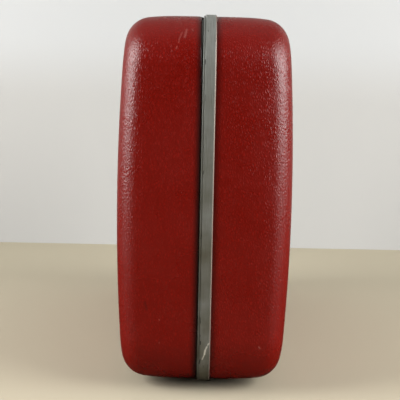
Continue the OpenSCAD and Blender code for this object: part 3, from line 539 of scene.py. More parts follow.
# %% [markdown]
# ## The shape of a shell
# Seen from the broad side the case is a rectangle with round corners. Each half rises from the
# frame as a wall that leans in a little, turns over a wide radius and closes with a face that
# bulges in both directions. That is a rule, so the shell is lofted from rings that follow it:
# every ring holds the same stations round the frame, and each is a little further in. The wall
# is a shade convex, so that it runs into the turn without a break. The rim is rounded, and on
# the lid it rolls in a little towards the open groove.

# %% Sizes of the two halves
CORNER_R = 70 * MM
# The wall starts this far inside the frame's surface and leans in by the draft
SHELL_STEP = 2.4 * MM
DRAFT = 2 * MM
SHELL_THICKNESS = 3 * MM
# The turn from the wall to the broad face. The wall's convexity takes up its first degrees
FACE_R = 34 * MM
WALL_TURN = math.radians(8)
TIGHTER = 4 * MM
# How much the broad face bulges over the height and over the length
CROWN_HEIGHT = 10.8 * MM
CROWN_LENGTH = 7 * MM
# The bulge starts beyond the rails' flanges
FLANGE = 16.4 * MM
RIM_R = 0.75 * MM
ROLL_IN = 0.6 * MM
ROLL_WIDTH = 7 * MM

band_low, band_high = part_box("base_rail")
HALF_LENGTH = band_high.x
HALF_HEIGHT = (band_high.z - band_low.z) / 2
MIDDLE_Z = (band_high.z + band_low.z) / 2
BULGE = FACE_R + CROWN_HEIGHT + CROWN_LENGTH
BASE, LID = 1, -1
# How far from the seam the wall goes over into the turn
WALL = {BASE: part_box("base_shell")[1].y - BULGE, LID: -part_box("lid_shell")[0].y - BULGE}
print("half length", HALF_LENGTH, "half height", round(HALF_HEIGHT, 4), "walls", WALL)

# %% Stations round the frame
def stations(per_end, per_corner, per_long):
    """Round the frame: the middle of each station's corner circle, and the way it faces."""
    line_x, line_z = HALF_LENGTH - CORNER_R, HALF_HEIGHT - CORNER_R
    centres, ways = [], []
    sides = [(1, 1, 0, per_end), (-1, 1, 90, per_long), (-1, -1, 180, per_end), (1, -1, 270, per_long)]
    start = (line_x, -line_z)
    for sign_x, sign_z, facing, steps in sides:
        end = (sign_x * line_x if facing % 180 else start[0], start[1] if facing % 180 else sign_z * line_z)
        for i in range(steps):
            share = i / steps
            centres.append((start[0] + (end[0] - start[0]) * share, start[1] + (end[1] - start[1]) * share))
            ways.append(facing)
        for i in range(per_corner):
            centres.append(end)
            ways.append(facing + 90 * i / per_corner)
        start = end
    turns = np.radians(ways)
    return np.array(centres), np.stack([np.cos(turns), np.sin(turns)], 1)


def crown(flat):
    """How far the broad face bulges at points (x, z) measured from its middle."""
    along = 1 - (flat[:, 0] / HALF_LENGTH) ** 2
    upward = 1 - (flat[:, 1] / HALF_HEIGHT) ** 2
    return CROWN_LENGTH * along + CROWN_HEIGHT * upward


def inset(round_frame, inward):
    """The frame's outline as points (x, z), moved inwards."""
    centres, ways = round_frame
    return centres + (CORNER_R - np.reshape(inward, (-1, 1))) * ways


def raised(flat, out, side):
    """Points (x, z) and their distance from the seam, as points in space on one half."""
    return np.stack([flat[:, 0], side * out, flat[:, 1] + MIDDLE_Z], 1)


corner_share = 2 * math.pi * CORNER_R / (2 * math.pi * CORNER_R + 4 * (
    HALF_LENGTH + HALF_HEIGHT - 2 * CORNER_R))
print("the round corners are", round(100 * corner_share), "percent of the outline")

# %% Rings of a skin
def turn(depth, side):
    """The radius of the turn and where it starts. The outer skin, at depth 0, turns tighter."""
    tighter = 0 if depth else TIGHTER
    return FACE_R - tighter - depth, WALL[side] + tighter


def wall_end(depth, side):
    """Where the wall goes over into the turn, how far it has leaned in there, and its power."""
    radius, start = turn(depth, side)
    end = start + radius * math.sin(WALL_TURN)
    lean = DRAFT + radius * (1 - math.cos(WALL_TURN))
    return end, lean, end * math.tan(WALL_TURN) / lean


def wall_ring(round_frame, depth, out, side, further=0.0):
    """A ring of the wall at distances out from the seam, and further in by a little."""
    end, lean, power = wall_end(depth, side)
    flat = inset(round_frame, SHELL_STEP + depth + further + lean * (out / end) ** power)
    lift = np.clip((out - FLANGE) / (WALL[side] - FLANGE), 0, 1)
    return raised(flat, out + crown(flat) * lift, side)


def turn_ring(round_frame, depth, angle, side):
    """A ring of the turn, which ends at a right angle to where it starts."""
    radius, start = turn(depth, side)
    flat = inset(round_frame, SHELL_STEP + depth + DRAFT + radius * (1 - math.cos(angle)))
    return raised(flat, start + radius * math.sin(angle) + crown(flat), side)


def face_ring(round_frame, depth, share, side):
    """A ring of the broad face: the end of the turn, shrunk to a share of its size."""
    radius, start = turn(depth, side)
    flat = share * inset(round_frame, SHELL_STEP + depth + DRAFT + radius)
    return raised(flat, start + radius + crown(flat), side)


def skin(round_frame, depth, start, side, wall_steps, turn_steps, face_steps, roll=0.0):
    """The rings of one skin, from near the middle of the broad face to the rim at start.

    They lie closer together towards the rim, where a skin may roll in by a little.
    """
    rings = [face_ring(round_frame, depth, (i + 0.4) / (face_steps + 0.4), side)
             for i in range(face_steps)]
    rings += [turn_ring(round_frame, depth, math.pi / 2 + (WALL_TURN - math.pi / 2) * i / turn_steps, side)
              for i in range(turn_steps)]
    end = wall_end(depth, side)[0]
    for i in range(wall_steps + 1):
        out = end + (start - end) * (1 - (1 - i / wall_steps) ** 2)
        near = np.clip(1 - (out - start) / ROLL_WIDTH, 0, 1)
        rings.append(wall_ring(round_frame, depth, out, side, roll * near**2))
    return rings


print("a wall leans in by", round(1000 * wall_end(0, BASE)[1], 2), "mm before it turns")

# %% Loft a skin through rings
# Points that lie closer than this are one point
SAME_POINT = 0.001 * MM


def mesh_object(name, points, faces):
    """A new object from points and faces, with all its faces pointing outwards."""
    mesh = bpy.data.meshes.new(name)
    mesh.from_pydata([tuple(p) for p in points], [], faces)
    shape = bmesh.new()
    shape.from_mesh(mesh)
    bmesh.ops.remove_doubles(shape, verts=shape.verts, dist=SAME_POINT)
    bmesh.ops.recalc_face_normals(shape, faces=shape.faces)
    shape.to_mesh(mesh)
    shape.free()
    return placed(name, mesh)


def loft(name, rings):
    """A skin through rings of equally many points, whose ends close on their middle points."""
    count = len(rings[0])
    points = [p for ring in rings for p in ring]
    faces = []
    for k in range(len(rings) - 1):
        for i in range(count):
            j = (i + 1) % count
            faces.append((k * count + i, k * count + j, (k + 1) * count + j, (k + 1) * count + i))
    for k in (0, len(rings) - 1):
        points.append(np.mean(rings[k], axis=0))
        middle = len(points) - 1
        faces += [(k * count + i, k * count + (i + 1) % count, middle) for i in range(count)]
    return mesh_object(name, points, faces)


print("points closer than", 1000 * SAME_POINT, "mm are merged")

# %% The two shells
SHELL_ROUND = stations(20, 16, 30)
# The lid has sprung a little at the near top corner, where its groove gapes
LID_GAP = 2.4 * MM
GAP_SPREAD = 55 * MM


def shell(name, node, side, start, roll=0.0):
    """A moulded shell: outer skin, rounded rim, inner skin."""
    rim = np.full(len(SHELL_ROUND[0]), start)
    if side == LID:
        flat = inset(SHELL_ROUND, 0)
        corner = np.array([HALF_LENGTH, HALF_HEIGHT])
        far = np.linalg.norm(flat - corner, axis=1)
        rim = rim + LID_GAP * np.exp(-((far / GAP_SPREAD) ** 2))
    outer = skin(SHELL_ROUND, 0, rim + RIM_R, side, wall_steps=12, turn_steps=12, face_steps=9, roll=roll)
    inner = skin(SHELL_ROUND, SHELL_THICKNESS, rim + RIM_R, side, wall_steps=8, turn_steps=10, face_steps=7)
    lip = []
    for depth, rolled, way, degrees in ((0, roll, 1, (30, 60, 90)), (SHELL_THICKNESS, 0, -1, (90, 60, 30))):
        for a in np.radians(degrees):
            further = rolled + way * RIM_R * (1 - math.cos(a))
            lip.append(wall_ring(SHELL_ROUND, depth, rim + RIM_R * (1 - math.sin(a)), side, further))
    piece = loft(name, outer + lip + inner[::-1])
    return finish_piece(piece, node, ABS)


base_shell = shell("base_shell_moulded", "base_shell", BASE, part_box("base_shell")[0].y)
lid_shell = shell("lid_shell_moulded", "lid_shell", LID, -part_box("lid_shell")[1].y, ROLL_IN)
print("shell faces:", len(base_shell.data.polygons), len(lid_shell.data.polygons))

# %% [markdown]
# ## One tree for all that is drawn out
# A rail is one section drawn round the frame. A strap, the handle's grip and the pocket's elastic
# are each a section drawn along a path. A single Geometry Nodes tree does this: it turns a path
# and a section into curves, sweeps one along the other, and leaves on each point its distance
# along the path and its place across the section. Cutters, small cylinders on a few points, make
# room for the hinges. The result is realised, given its material and kept as a plain mesh.

# %% The sweep tree
def new_tree(name, inputs):
    """A Geometry Nodes tree with one geometry input, named inputs and one geometry output."""
    tree = bpy.data.node_groups.new(name, "GeometryNodeTree")
    tree.interface.new_socket("Geometry", in_out="INPUT", socket_type="NodeSocketGeometry")
    for label, kind in inputs:
        tree.interface.new_socket(label, in_out="INPUT", socket_type="NodeSocket" + kind)
    tree.interface.new_socket("Geometry", in_out="OUTPUT", socket_type="NodeSocketGeometry")
    given = add(tree, "NodeGroupInput").outputs
    return tree, given


def end_tree(tree, geometry, finish):
    """Realises what the tree made, sets its material and hands it out."""
    real = add(tree, "GeometryNodeRealizeInstances", {"Geometry": geometry})
    dressed = add(tree, "GeometryNodeSetMaterial", {"Geometry": real.outputs[0], "Material": finish})
    add(tree, "NodeGroupOutput", {0: dressed.outputs[0]})


def sweep_tree():
    """The tree that draws a section along a path and cuts room for the hinges where asked."""
    tree, given = new_tree("section drawn along a path", [
        ("Section", "Object"), ("Section faces", "Vector"), ("Close the ends", "Bool"),
        ("Cutters", "Object"), ("Cutter radius", "Float"), ("Cutter length", "Float"),
        ("Finish", "Material")])
    path = add(tree, "GeometryNodeMeshToCurve", {0: given["Geometry"]})
    length = add(tree, "GeometryNodeSplineParameter")
    measured = add(tree, "GeometryNodeStoreNamedAttribute", {
        "Geometry": path.outputs[0], "Name": "along", "Value": length.outputs["Length"]}, domain="POINT")
    faced = add(tree, "GeometryNodeSetCurveNormal", {
        "Curve": measured.outputs[0], "Normal": given["Section faces"]}, mode="FREE")
    section = add(tree, "GeometryNodeObjectInfo", {"Object": given["Section"]})
    outline = add(tree, "GeometryNodeMeshToCurve", {0: section.outputs["Geometry"]})
    place = add(tree, "GeometryNodeInputPosition")
    apart = add(tree, "ShaderNodeSeparateXYZ", {0: place.outputs[0]})
    marked = add(tree, "GeometryNodeStoreNamedAttribute", {
        "Geometry": outline.outputs[0], "Name": "across", "Value": apart.outputs["X"]}, domain="POINT")
    swell = add(tree, "GeometryNodeInputNamedAttribute", {"Name": "swell"}, data_type="FLOAT")
    swept = add(tree, "GeometryNodeCurveToMesh", {
        "Curve": faced.outputs[0], "Profile Curve": marked.outputs[0],
        "Scale": swell.outputs["Attribute"], "Fill Caps": given["Close the ends"]})
    spots = add(tree, "GeometryNodeObjectInfo", {"Object": given["Cutters"]})
    rod = add(tree, "GeometryNodeMeshCylinder", {
        "Vertices": 40, "Radius": given["Cutter radius"], "Depth": given["Cutter length"]})
    rods = add(tree, "GeometryNodeInstanceOnPoints", {
        "Points": spots.outputs["Geometry"], "Instance": rod.outputs[0],
        "Rotation": (0.0, math.radians(90), 0.0)})
    whole_rods = add(tree, "GeometryNodeRealizeInstances", {0: rods.outputs[0]})
    cut = add(tree, "GeometryNodeMeshBoolean", {
        "Mesh 1": swept.outputs[0], "Mesh 2": whole_rods.outputs[0]}, operation="DIFFERENCE")
    has_cutters = add(tree, "FunctionNodeCompare", {
        2: add(tree, "GeometryNodeAttributeDomainSize", {0: spots.outputs["Geometry"]}).outputs[0], 3: 0},
        data_type="INT", operation="GREATER_THAN")
    chosen = add(tree, "GeometryNodeSwitch", {
        "Switch": has_cutters.outputs[0], "False": swept.outputs[0], "True": cut.outputs[0]},
        input_type="GEOMETRY")
    end_tree(tree, chosen.outputs[0], given["Finish"])
    return tree


SWEEP = sweep_tree()
print("the sweep's tree has", len(SWEEP.nodes), "nodes")

# %% Draw a section along a path
def grow(name, start, tree, values):
    """Runs a tree on a start object and returns its result as a plain mesh object."""
    modifier = start.modifiers.new("nodes", "NODES")
    modifier.node_group = tree
    names = {s.name: s.identifier for s in tree.interface.items_tree if s.in_out == "INPUT"}
    for label, value in values.items():
        modifier[names[label]] = value
    ready = start.evaluated_get(bpy.context.evaluated_depsgraph_get())
    mesh = bpy.data.meshes.new_from_object(ready)
    mesh.name = name
    start.modifiers.clear()
    return placed(name, mesh)


def line_object(name, points, closed, swell=None):
    """A line of points for a tree to read. swell is the section's scale at each point."""
    mesh = bpy.data.meshes.new(name)
    count = len(points)
    edges = [(i, i + 1) for i in range(count - 1)] + ([(count - 1, 0)] if closed else [])
    mesh.from_pydata([tuple(p) for p in points], edges, [])
    scales = mesh.attributes.new("swell", "FLOAT", "POINT")
    scales.data.foreach_set("value", np.full(count, 1.0) if swell is None else np.array(swell))
    return placed(name, mesh)


def sweep(name, points, section, faces, finish, closed=False, swell=None, cutters=(), cutter=(0.0, 0.0)):
    """Draws a section, given as (x, y) pairs, along a path. x points the way that faces says."""
    path = line_object(name + "_path", points, closed, swell)
    outline = line_object(name + "_section", [(x, y, 0) for x, y in section], True)
    spots = line_object(name + "_cutters", list(cutters), False)
    piece = grow(name, path, SWEEP, {
        "Section": outline, "Section faces": faces, "Close the ends": not closed,
        "Cutters": spots, "Cutter radius": cutter[0], "Cutter length": cutter[1], "Finish": finish})
    for helper in (path, outline, spots):
        bpy.data.objects.remove(helper)
    return piece


print("the sweep's inputs:", [s.name for s in SWEEP.interface.items_tree if s.in_out == "INPUT"])

# %% [markdown]
# ## The two rails
# The wide rail has a flat outer face, a bevel at its far edge and a lip that holds the shell;
# behind it a web and a flange carry the rivets. The narrow rail on the lid lies a little lower
# and has the tongue that closes into the wide rail's groove. Both are drawn once round the
# frame. Every corner of a section is rounded with a few points, because a real rolled edge is
# never sharp, and that small radius is what catches the light.

# %% Round the corners of a section
CORNER_STEPS = 3


def rounded(section):
    """A section whose corners (x, y, radius) become arcs, in the order given."""
    points = []
    count = len(section)
    for i, (x, y, radius) in enumerate(section):
        here = Vector((x, y))
        before = Vector(section[i - 1][:2]) - here
        after = Vector(section[(i + 1) % count][:2]) - here
        angle = before.angle(after)
        reach = min(radius / math.tan(angle / 2), 0.45 * before.length, 0.45 * after.length)
        if reach < 0.01 * MM:
            points.append((x, y))
            continue
        start = here + before.normalized() * reach
        end = here + after.normalized() * reach
        for k in range(CORNER_STEPS + 1):
            t = k / CORNER_STEPS
            bend = start.lerp(here, t).lerp(here.lerp(end, t), t)
            points.append((bend.x, bend.y))
    return points


print("a rounded corner has", CORNER_STEPS + 1, "points")

# %% Sections of the rails
BAND_WIDTH = 13.5 * MM
STRIP_WIDTH = 2.4 * MM
STRIP_DROP = 1.3 * MM
SEAM = band_low.y
RAIL_SHEET = 1.5 * MM
BEVEL_WIDTH = 1.2 * MM
BEVEL_DEPTH = 0.9 * MM
LIP = 2 * MM
WEB = 4.1 * MM
FLANGE_DEPTH = 6.6 * MM
FLANGE_END = band_high.y
TONGUE_DEPTH = 3.8 * MM
TONGUE_SHEET = 1.2 * MM
TONGUE_HEIGHT = 2 * MM
GROOVE_OUT = 0.4 * MM
GROOVE_IN = 0.8 * MM
ROLLED_EDGE = 0.35 * MM
CLEARANCE = 0.4 * MM
inner = FLANGE_DEPTH + RAIL_SHEET
groove_near = TONGUE_DEPTH - GROOVE_OUT
groove_far = TONGUE_DEPTH + TONGUE_SHEET + GROOVE_IN
groove_floor = WEB - RAIL_SHEET

# Each corner is its distance from the seam, its depth below the frame's surface and its radius
WIDE_RAIL = [
    (SEAM, 0, ROLLED_EDGE), (BAND_WIDTH - BEVEL_WIDTH, 0, 2 * ROLLED_EDGE),
    (BAND_WIDTH, BEVEL_DEPTH, ROLLED_EDGE), (BAND_WIDTH, LIP, ROLLED_EDGE), (WEB, LIP, ROLLED_EDGE),
    (WEB, FLANGE_DEPTH, ROLLED_EDGE), (FLANGE_END, FLANGE_DEPTH, ROLLED_EDGE),
    (FLANGE_END, inner, ROLLED_EDGE), (SEAM, inner, ROLLED_EDGE), (SEAM, groove_far, ROLLED_EDGE),
    (groove_floor, groove_far, ROLLED_EDGE), (groove_floor, groove_near, ROLLED_EDGE),
    (SEAM, groove_near, ROLLED_EDGE)]
NARROW_RAIL = [
    (-SEAM, STRIP_DROP, ROLLED_EDGE), (-SEAM, TONGUE_DEPTH, ROLLED_EDGE),
    (TONGUE_HEIGHT - SEAM, TONGUE_DEPTH, ROLLED_EDGE),
    (TONGUE_HEIGHT - SEAM, TONGUE_DEPTH + TONGUE_SHEET, ROLLED_EDGE),
    (-SEAM, TONGUE_DEPTH + TONGUE_SHEET, ROLLED_EDGE), (-SEAM, inner, ROLLED_EDGE),
    (-FLANGE_END, inner, ROLLED_EDGE), (-FLANGE_END, FLANGE_DEPTH, ROLLED_EDGE),
    (-STRIP_WIDTH, FLANGE_DEPTH, ROLLED_EDGE), (-STRIP_WIDTH, STRIP_DROP, ROLLED_EDGE)]
print("corners in the sections:", len(WIDE_RAIL), len(NARROW_RAIL))

# %% Draw the rails round the frame
RAIL_ROUND = stations(12, 18, 16)
hinge_pins = [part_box("hinge_pin_" + place) for place in ("left", "centre", "right")]
hinge_middles = [(low + high) / 2 for low, high in hinge_pins]
knuckle_low, knuckle_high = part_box("hinge_base_leaf_centre")
knuckle_radius = (knuckle_high.z - knuckle_low.z) / 2
hinge_room = (knuckle_radius + CLEARANCE, hinge_pins[0][1].x - hinge_pins[0][0].x + 2 * CLEARANCE)


def rail(name, node, section):
    """A rail: its section drawn once round the frame, with room for the hinges' knuckles."""
    flat = inset(RAIL_ROUND, 0)
    path = [(x, 0, z + MIDDLE_Z) for x, z in flat]
    piece = sweep(name, path, rounded(section), (0, 1, 0), ALUMINIUM, closed=True,
                  cutters=hinge_middles, cutter=hinge_room)
    return finish_piece(piece, node)


wide_rail = rail("base_rail_rolled", "base_rail", WIDE_RAIL)
narrow_rail = rail("lid_rail_rolled", "lid_rail", NARROW_RAIL)
print("rail faces:", len(wide_rail.data.polygons), len(narrow_rail.data.polygons))

# %% [markdown]
# ## Edges of the fittings
# Latches, brackets, hinges and buckles are pressed or cast, and their edges are rounded by the
# tool and by wear. A CAD solid's edges are perfectly sharp and catch no light. The fittings
# could be modelled anew, but their shapes are right and only their edges aren't. So each one is
# copied, its loose triangles are joined into faces, and a small bevel runs along every sharp
# edge. The copy stands in for its node, on the same body, with the same finish.

# %% Soften the fittings
# Corners of the loose triangles that lie closer than this are one corner
SAME_CORNER = 0.004 * MM
FLAT_ENOUGH = math.radians(1)
EDGE = math.radians(35)


def keep_modifiers(piece):
    """Gives a piece the mesh that its modifiers make, and takes them off."""
    ready = piece.evaluated_get(bpy.context.evaluated_depsgraph_get())
    piece.data = bpy.data.meshes.new_from_object(ready)
    piece.modifiers.clear()


def joined_copy(node, name):
    """A copy of a CAD node whose triangles are joined and whose flat areas are one face each."""
    mesh = frame["nodes"][node].data.copy()
    mesh.name = name
    shape = bmesh.new()
    shape.from_mesh(mesh)
    bmesh.ops.remove_doubles(shape, verts=shape.verts, dist=SAME_CORNER)
    bmesh.ops.dissolve_limit(shape, angle_limit=FLAT_ENOUGH, verts=shape.verts, edges=shape.edges)
    shape.to_mesh(mesh)
    shape.free()
    return placed(name, mesh)


def soften(node, radius, material, steps=2):
    """Puts a copy with rounded edges in a node's place."""
    piece = joined_copy(node, node + "_rounded")
    bevel = piece.modifiers.new("rounded edges", "BEVEL")
    bevel.width = radius
    bevel.segments = steps
    bevel.limit_method = "ANGLE"
    bevel.angle_limit = EDGE
    keep_modifiers(piece)
    return finish_piece(piece, node, material)


PAIR = ("_left", "_right")
ROUNDINGS = {
    "handle_bracket": (0.45 * MM, PLATED), "handle_link": (0.6 * MM, PLATED),
    "lock_body": (0.5 * MM, PLATED), "lock_slider": (0.3 * MM, PLATED),
    "key_cylinder": (0.2 * MM, PLATED), "hasp_base": (0.3 * MM, PLATED), "hasp": (0.4 * MM, PLATED),
    "foot_base": (1.2 * MM, NYLON), "foot_lid": (1.2 * MM, NYLON),
    "strap_buckle": (0.8 * MM, PLATED), "stay_base_arm": (0.3 * MM, ARM_STEEL),
    "stay_lid_arm": (0.3 * MM, ARM_STEEL), "stay_elbow_pin": (0.25 * MM, TURNED)}
for part, (radius, finish) in ROUNDINGS.items():
    for side in PAIR:
        soften(part + side, radius, finish)
for place in ("_left", "_centre", "_right"):
    soften("hinge_base_leaf" + place, 0.3 * MM, PLATED)
    soften("hinge_lid_leaf" + place, 0.3 * MM, PLATED)
    soften("hinge_pin" + place, 0.4 * MM, TURNED)
for node in ("handle_pins", "hasp_pins", "stay_studs_base", "stay_studs_lid"):
    soften(node, 0.25 * MM, TURNED)

# %% [markdown]
# ## Rivets
# A rivet's head is a low dome, pressed tight on what it holds. Heads could be set one by one,
# but the CAD frame knows where each rivet is. So the places are read from its solids, and one
# tree sets a head with its shank on every place, turned the way the place faces. The dome is a
# sphere whose lower half is pushed flat, which keeps it closed.

# %% The rivet tree
def rivet_tree():
    """The tree that sets a domed head with its shank on each point, turned the way it faces."""
    tree, given = new_tree("rivet heads on their places", [
        ("Head radius", "Float"), ("Head height", "Float"),
        ("Shank radius", "Float"), ("Shank length", "Float"), ("Finish", "Material")])
    ball = add(tree, "GeometryNodeMeshUVSphere", {"Segments": 20, "Rings": 12, "Radius": 1.0})
    size = add(tree, "ShaderNodeCombineXYZ", {
        0: given["Head radius"], 1: given["Head radius"], 2: given["Head height"]})
    low = add(tree, "GeometryNodeTransform", {"Geometry": ball.outputs[0], "Scale": size.outputs[0]})
    place = add(tree, "GeometryNodeInputPosition")
    # No point of the ball lies beyond -1 m along X or Y, so only what is below Z = 0 is moved
    dome = add(tree, "ShaderNodeVectorMath", {
        0: place.outputs[0], 1: (-1.0, -1.0, 0.0)}, operation="MAXIMUM")
    flat = add(tree, "GeometryNodeSetPosition", {"Geometry": low.outputs[0], "Position": dome.outputs[0]})
    shank = add(tree, "GeometryNodeMeshCylinder", {
        "Vertices": 16, "Radius": given["Shank radius"], "Depth": given["Shank length"]})
    half = add(tree, "ShaderNodeMath", {0: given["Shank length"], 1: -0.5}, operation="MULTIPLY")
    down = add(tree, "ShaderNodeCombineXYZ", {0: 0.0, 1: 0.0, 2: half.outputs[0]})
    below = add(tree, "GeometryNodeTransform", {
        "Geometry": shank.outputs[0], "Translation": down.outputs[0]})
    whole = add(tree, "GeometryNodeJoinGeometry")
    tree.links.new(flat.outputs[0], whole.inputs[0])
    tree.links.new(below.outputs[0], whole.inputs[0])
    out = add(tree, "GeometryNodeInputNamedAttribute", {"Name": "out"}, data_type="FLOAT_VECTOR")
    upright = add(tree, "FunctionNodeAlignEulerToVector", {"Vector": out.outputs["Attribute"]}, axis="Z")
    set_out = add(tree, "GeometryNodeInstanceOnPoints", {
        "Points": given["Geometry"], "Instance": whole.outputs[0], "Rotation": upright.outputs[0]})
    end_tree(tree, set_out.outputs[0], given["Finish"])
    return tree


RIVET = rivet_tree()
print("the rivet's tree has", len(RIVET.nodes), "nodes")

# %% Find the frame's rivets and set heads there
def solids_of(node):
    """The lowest and highest corner of each separate solid in a CAD node."""
    mesh = frame["nodes"][node].data
    shape = bmesh.new()
    shape.from_mesh(mesh)
    bmesh.ops.remove_doubles(shape, verts=shape.verts, dist=SAME_CORNER)
    left = set(shape.verts)
    found = []
    while left:
        group, front = [], [left.pop()]
        while front:
            vert = front.pop()
            group.append(vert.co.copy())
            for edge in vert.link_edges:
                other = edge.other_vert(vert)
                if other in left:
                    left.remove(other)
                    front.append(other)
        spots = np.array(group)
        found.append((spots.min(0), spots.max(0)))
    shape.free()
    return sorted(found, key=lambda box: tuple(box[0].round(4)))


def rivets(name, node, seats, head, shank, finish):
    """Sets rivets on seats, each a point where the head's flat side lies and the way it faces."""
    mesh = bpy.data.meshes.new(name + "_places")
    mesh.from_pydata([tuple(point) for point, _ in seats], [], [])
    faces = mesh.attributes.new("out", "FLOAT_VECTOR", "POINT")
    faces.data.foreach_set("vector", np.array([way for _, way in seats], float).ravel())
    places = placed(name + "_places", mesh)
    piece = grow(name, places, RIVET, {
        "Head radius": head[0], "Head height": head[1],
        "Shank radius": shank[0], "Shank length": shank[1], "Finish": finish})
    bpy.data.objects.remove(places)
    return finish_piece(piece, node)


print("rivets of the base rail:", len(solids_of("base_rivets")))

# %% Rivets of the rails, of the fittings and of the straps
FLANGE_RIVET = (3.2 * MM, 1.05 * MM)
FLANGE_SHANK = (1.5 * MM, 1.4 * MM)
FITTING_RIVET = (2.5 * MM, 0.9 * MM)
FITTING_SHANK = (1.5 * MM, 1.2 * MM)
SNAP = (4 * MM, 1.2 * MM)
SNAP_SHANK = (1.5 * MM, 0.4 * MM)


def flange_seats(node):
    """A rail's rivets point to the inside of the case, along the thin way of their solid."""
    seats = []
    for low, high in solids_of(node):
        middle = (low + high) / 2
        axis = int(np.argmin(high - low))
        way = np.zeros(3)
        way[axis] = -np.sign(middle[axis] - (MIDDLE_Z if axis == 2 else 0))
        seat = middle.copy()
        tip = low[axis] if way[axis] < 0 else high[axis]
        seat[axis] = tip - way[axis] * FLANGE_RIVET[1]
        seats.append((seat, way))
    return seats


def upright_seats(node, head_height, inward=False):
    """Rivets that stand upright: heads face away from the middle of the case, or towards it."""
    seats = []
    for low, high in solids_of(node):
        middle = (low + high) / 2
        up = 1 if (middle[2] > MIDDLE_Z) != inward else -1
        tip = high[2] if up > 0 else low[2]
        seats.append(((middle[0], middle[1], tip - up * head_height), (0, 0, up)))
    return seats


for half in ("base", "lid"):
    node = half + "_rivets"
    rivets(half + "_rail_rivets", node, flange_seats(node), FLANGE_RIVET, FLANGE_SHANK, TURNED)
    node = half + "_fitting_rivets"
    rivets(half + "_fitting_rivet_heads", node, upright_seats(node, FITTING_RIVET[1]),
           FITTING_RIVET, FITTING_SHANK, TURNED)
rivets("strap_snaps", "strap_rivets", upright_seats("strap_rivets", SNAP[1], inward=True),
       SNAP, SNAP_SHANK, PLATED)
print("rivets:", {node: len(solids_of(node)) for node in ("base_rivets", "base_fitting_rivets")})

# %% [markdown]
# ## The handle's grip
# The grip is a thick moulded bow between two links, fuller in the middle so that it fills the
# hand. It is the sweep again: the path is half of a squared ellipse, which leaves the links
# straight, and the section is an oval with a raised seam where two halves of a mould met.

# %% Mould the grip
GRIP_STEPS = 72
GRIP_WIDTH = 19 * MM
GRIP_HEIGHT = 16 * MM
# The section's size at the grip's ends, as a share of that in the middle
GRIP_THIN = 0.62
GRIP_SIDES = 48
MOULD_SEAM = 0.35 * MM
# Half the seam's width, as a share of half the grip's height
SEAM_SHARE = 0.12
grip_low, grip_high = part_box("handle_grip")
link_low, link_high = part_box("handle_link_right")
grip_half_span = (link_low.x + link_high.x) / 2
grip_reach = grip_high.y - grip_low.y - GRIP_WIDTH / 2
grip_z = (grip_low.z + grip_high.z) / 2


def grip():
    """The grip's path, swell and section, drawn by the sweep."""
    turns = [math.pi / 2 * (1 - math.cos(math.pi * i / GRIP_STEPS)) for i in range(GRIP_STEPS + 1)]
    path, swell = [], []
    for a in turns:
        run = math.copysign(math.sqrt(abs(math.cos(a))), math.cos(a))
        rise = math.sqrt(max(0.0, math.sin(a)))
        path.append((grip_half_span * run, grip_low.y + grip_reach * rise, grip_z))
        swell.append(GRIP_THIN + (1 - GRIP_THIN) * rise)
    section = []
    for i in range(GRIP_SIDES):
        a = 2 * math.pi * i / GRIP_SIDES
        seam = MOULD_SEAM * math.exp(-((math.cos(a) / SEAM_SHARE) ** 2))
        half_width = GRIP_WIDTH / 2 - MOULD_SEAM + seam
        section.append((GRIP_HEIGHT / 2 * math.cos(a), half_width * math.sin(a)))
    piece = sweep("handle_grip_moulded", path, section, (0, 0, 1), GRIP_PLASTIC, swell=swell)
    return finish_piece(piece, "handle_grip")


grip_piece = grip()
print("grip box", [round(v, 4) for v in (*grip_piece.bound_box[0], *grip_piece.bound_box[6])])

# %% [markdown]
# ## The linings
# Each half is lined with satin over thin wadding, quilted in diamonds, so the inside of the case
# shows soft squares with stitched valleys between them. Cloth could be simulated over wadding,
# but quilting is so regular that a formula does it: the skins follow the shells' rule a few
# millimetres further in, and the inner one is drawn back along two sets of stitches that cross.
# The quilting fades out over the round edge, where the cloth is smooth.

# %% Quilt the linings
LINING_ROUND = stations(40, 20, 60)
LINING_OUTSIDE = 3.5 * MM
LINING_INSIDE = 5.1 * MM
QUILT_PITCH = 44 * MM
QUILT_DEPTH = 1.15 * MM
QUILTED_RINGS = 44
FADING_RINGS = 5


def quilted(ring, side, share):
    """Moves a ring of the inner skin towards the shell along the seams of the quilting."""
    x, z = ring[:, 0], ring[:, 2] - MIDDLE_Z
    first = np.abs(np.sin(math.pi * (x + z) / QUILT_PITCH))
    second = np.abs(np.sin(math.pi * (x - z) / QUILT_PITCH))
    puff = np.sqrt(np.minimum(first, second))
    moved = ring.copy()
    moved[:, 1] += side * share * QUILT_DEPTH * (1 - puff)
    return moved


def lining(name, node, side):
    """A lining: its smooth outer skin, joined at the rim to the quilted inner one."""
    outer = skin(LINING_ROUND, LINING_OUTSIDE, FLANGE, side, wall_steps=4, turn_steps=8, face_steps=10)
    rings = skin(
        LINING_ROUND, LINING_INSIDE, FLANGE, side, wall_steps=6, turn_steps=12, face_steps=QUILTED_RINGS)
    smooth_from = QUILTED_RINGS + FADING_RINGS
    soft = [quilted(ring, side, 1.0) for ring in rings[:QUILTED_RINGS]]
    soft += [quilted(ring, side, 1 - (k + 1) / (FADING_RINGS + 1))
             for k, ring in enumerate(rings[QUILTED_RINGS:smooth_from])]
    soft += rings[smooth_from:]
    piece = loft(name, outer + soft[::-1])
    return finish_piece(piece, node, SATIN)


base_lining = lining("base_lining_quilted", "base_lining", BASE)
lid_lining = lining("lid_lining_quilted", "lid_lining", LID)
print("lining faces", len(base_lining.data.polygons))

# %% [markdown]
# ## Straps
# Two elastic straps hold the clothes down in the base. Webbing is flat and nearly square at its
# edges, and at each end it turns over and is held by a snap. The path goes along the lining,
# round the fold and across the case, and the sweep draws the band along it.

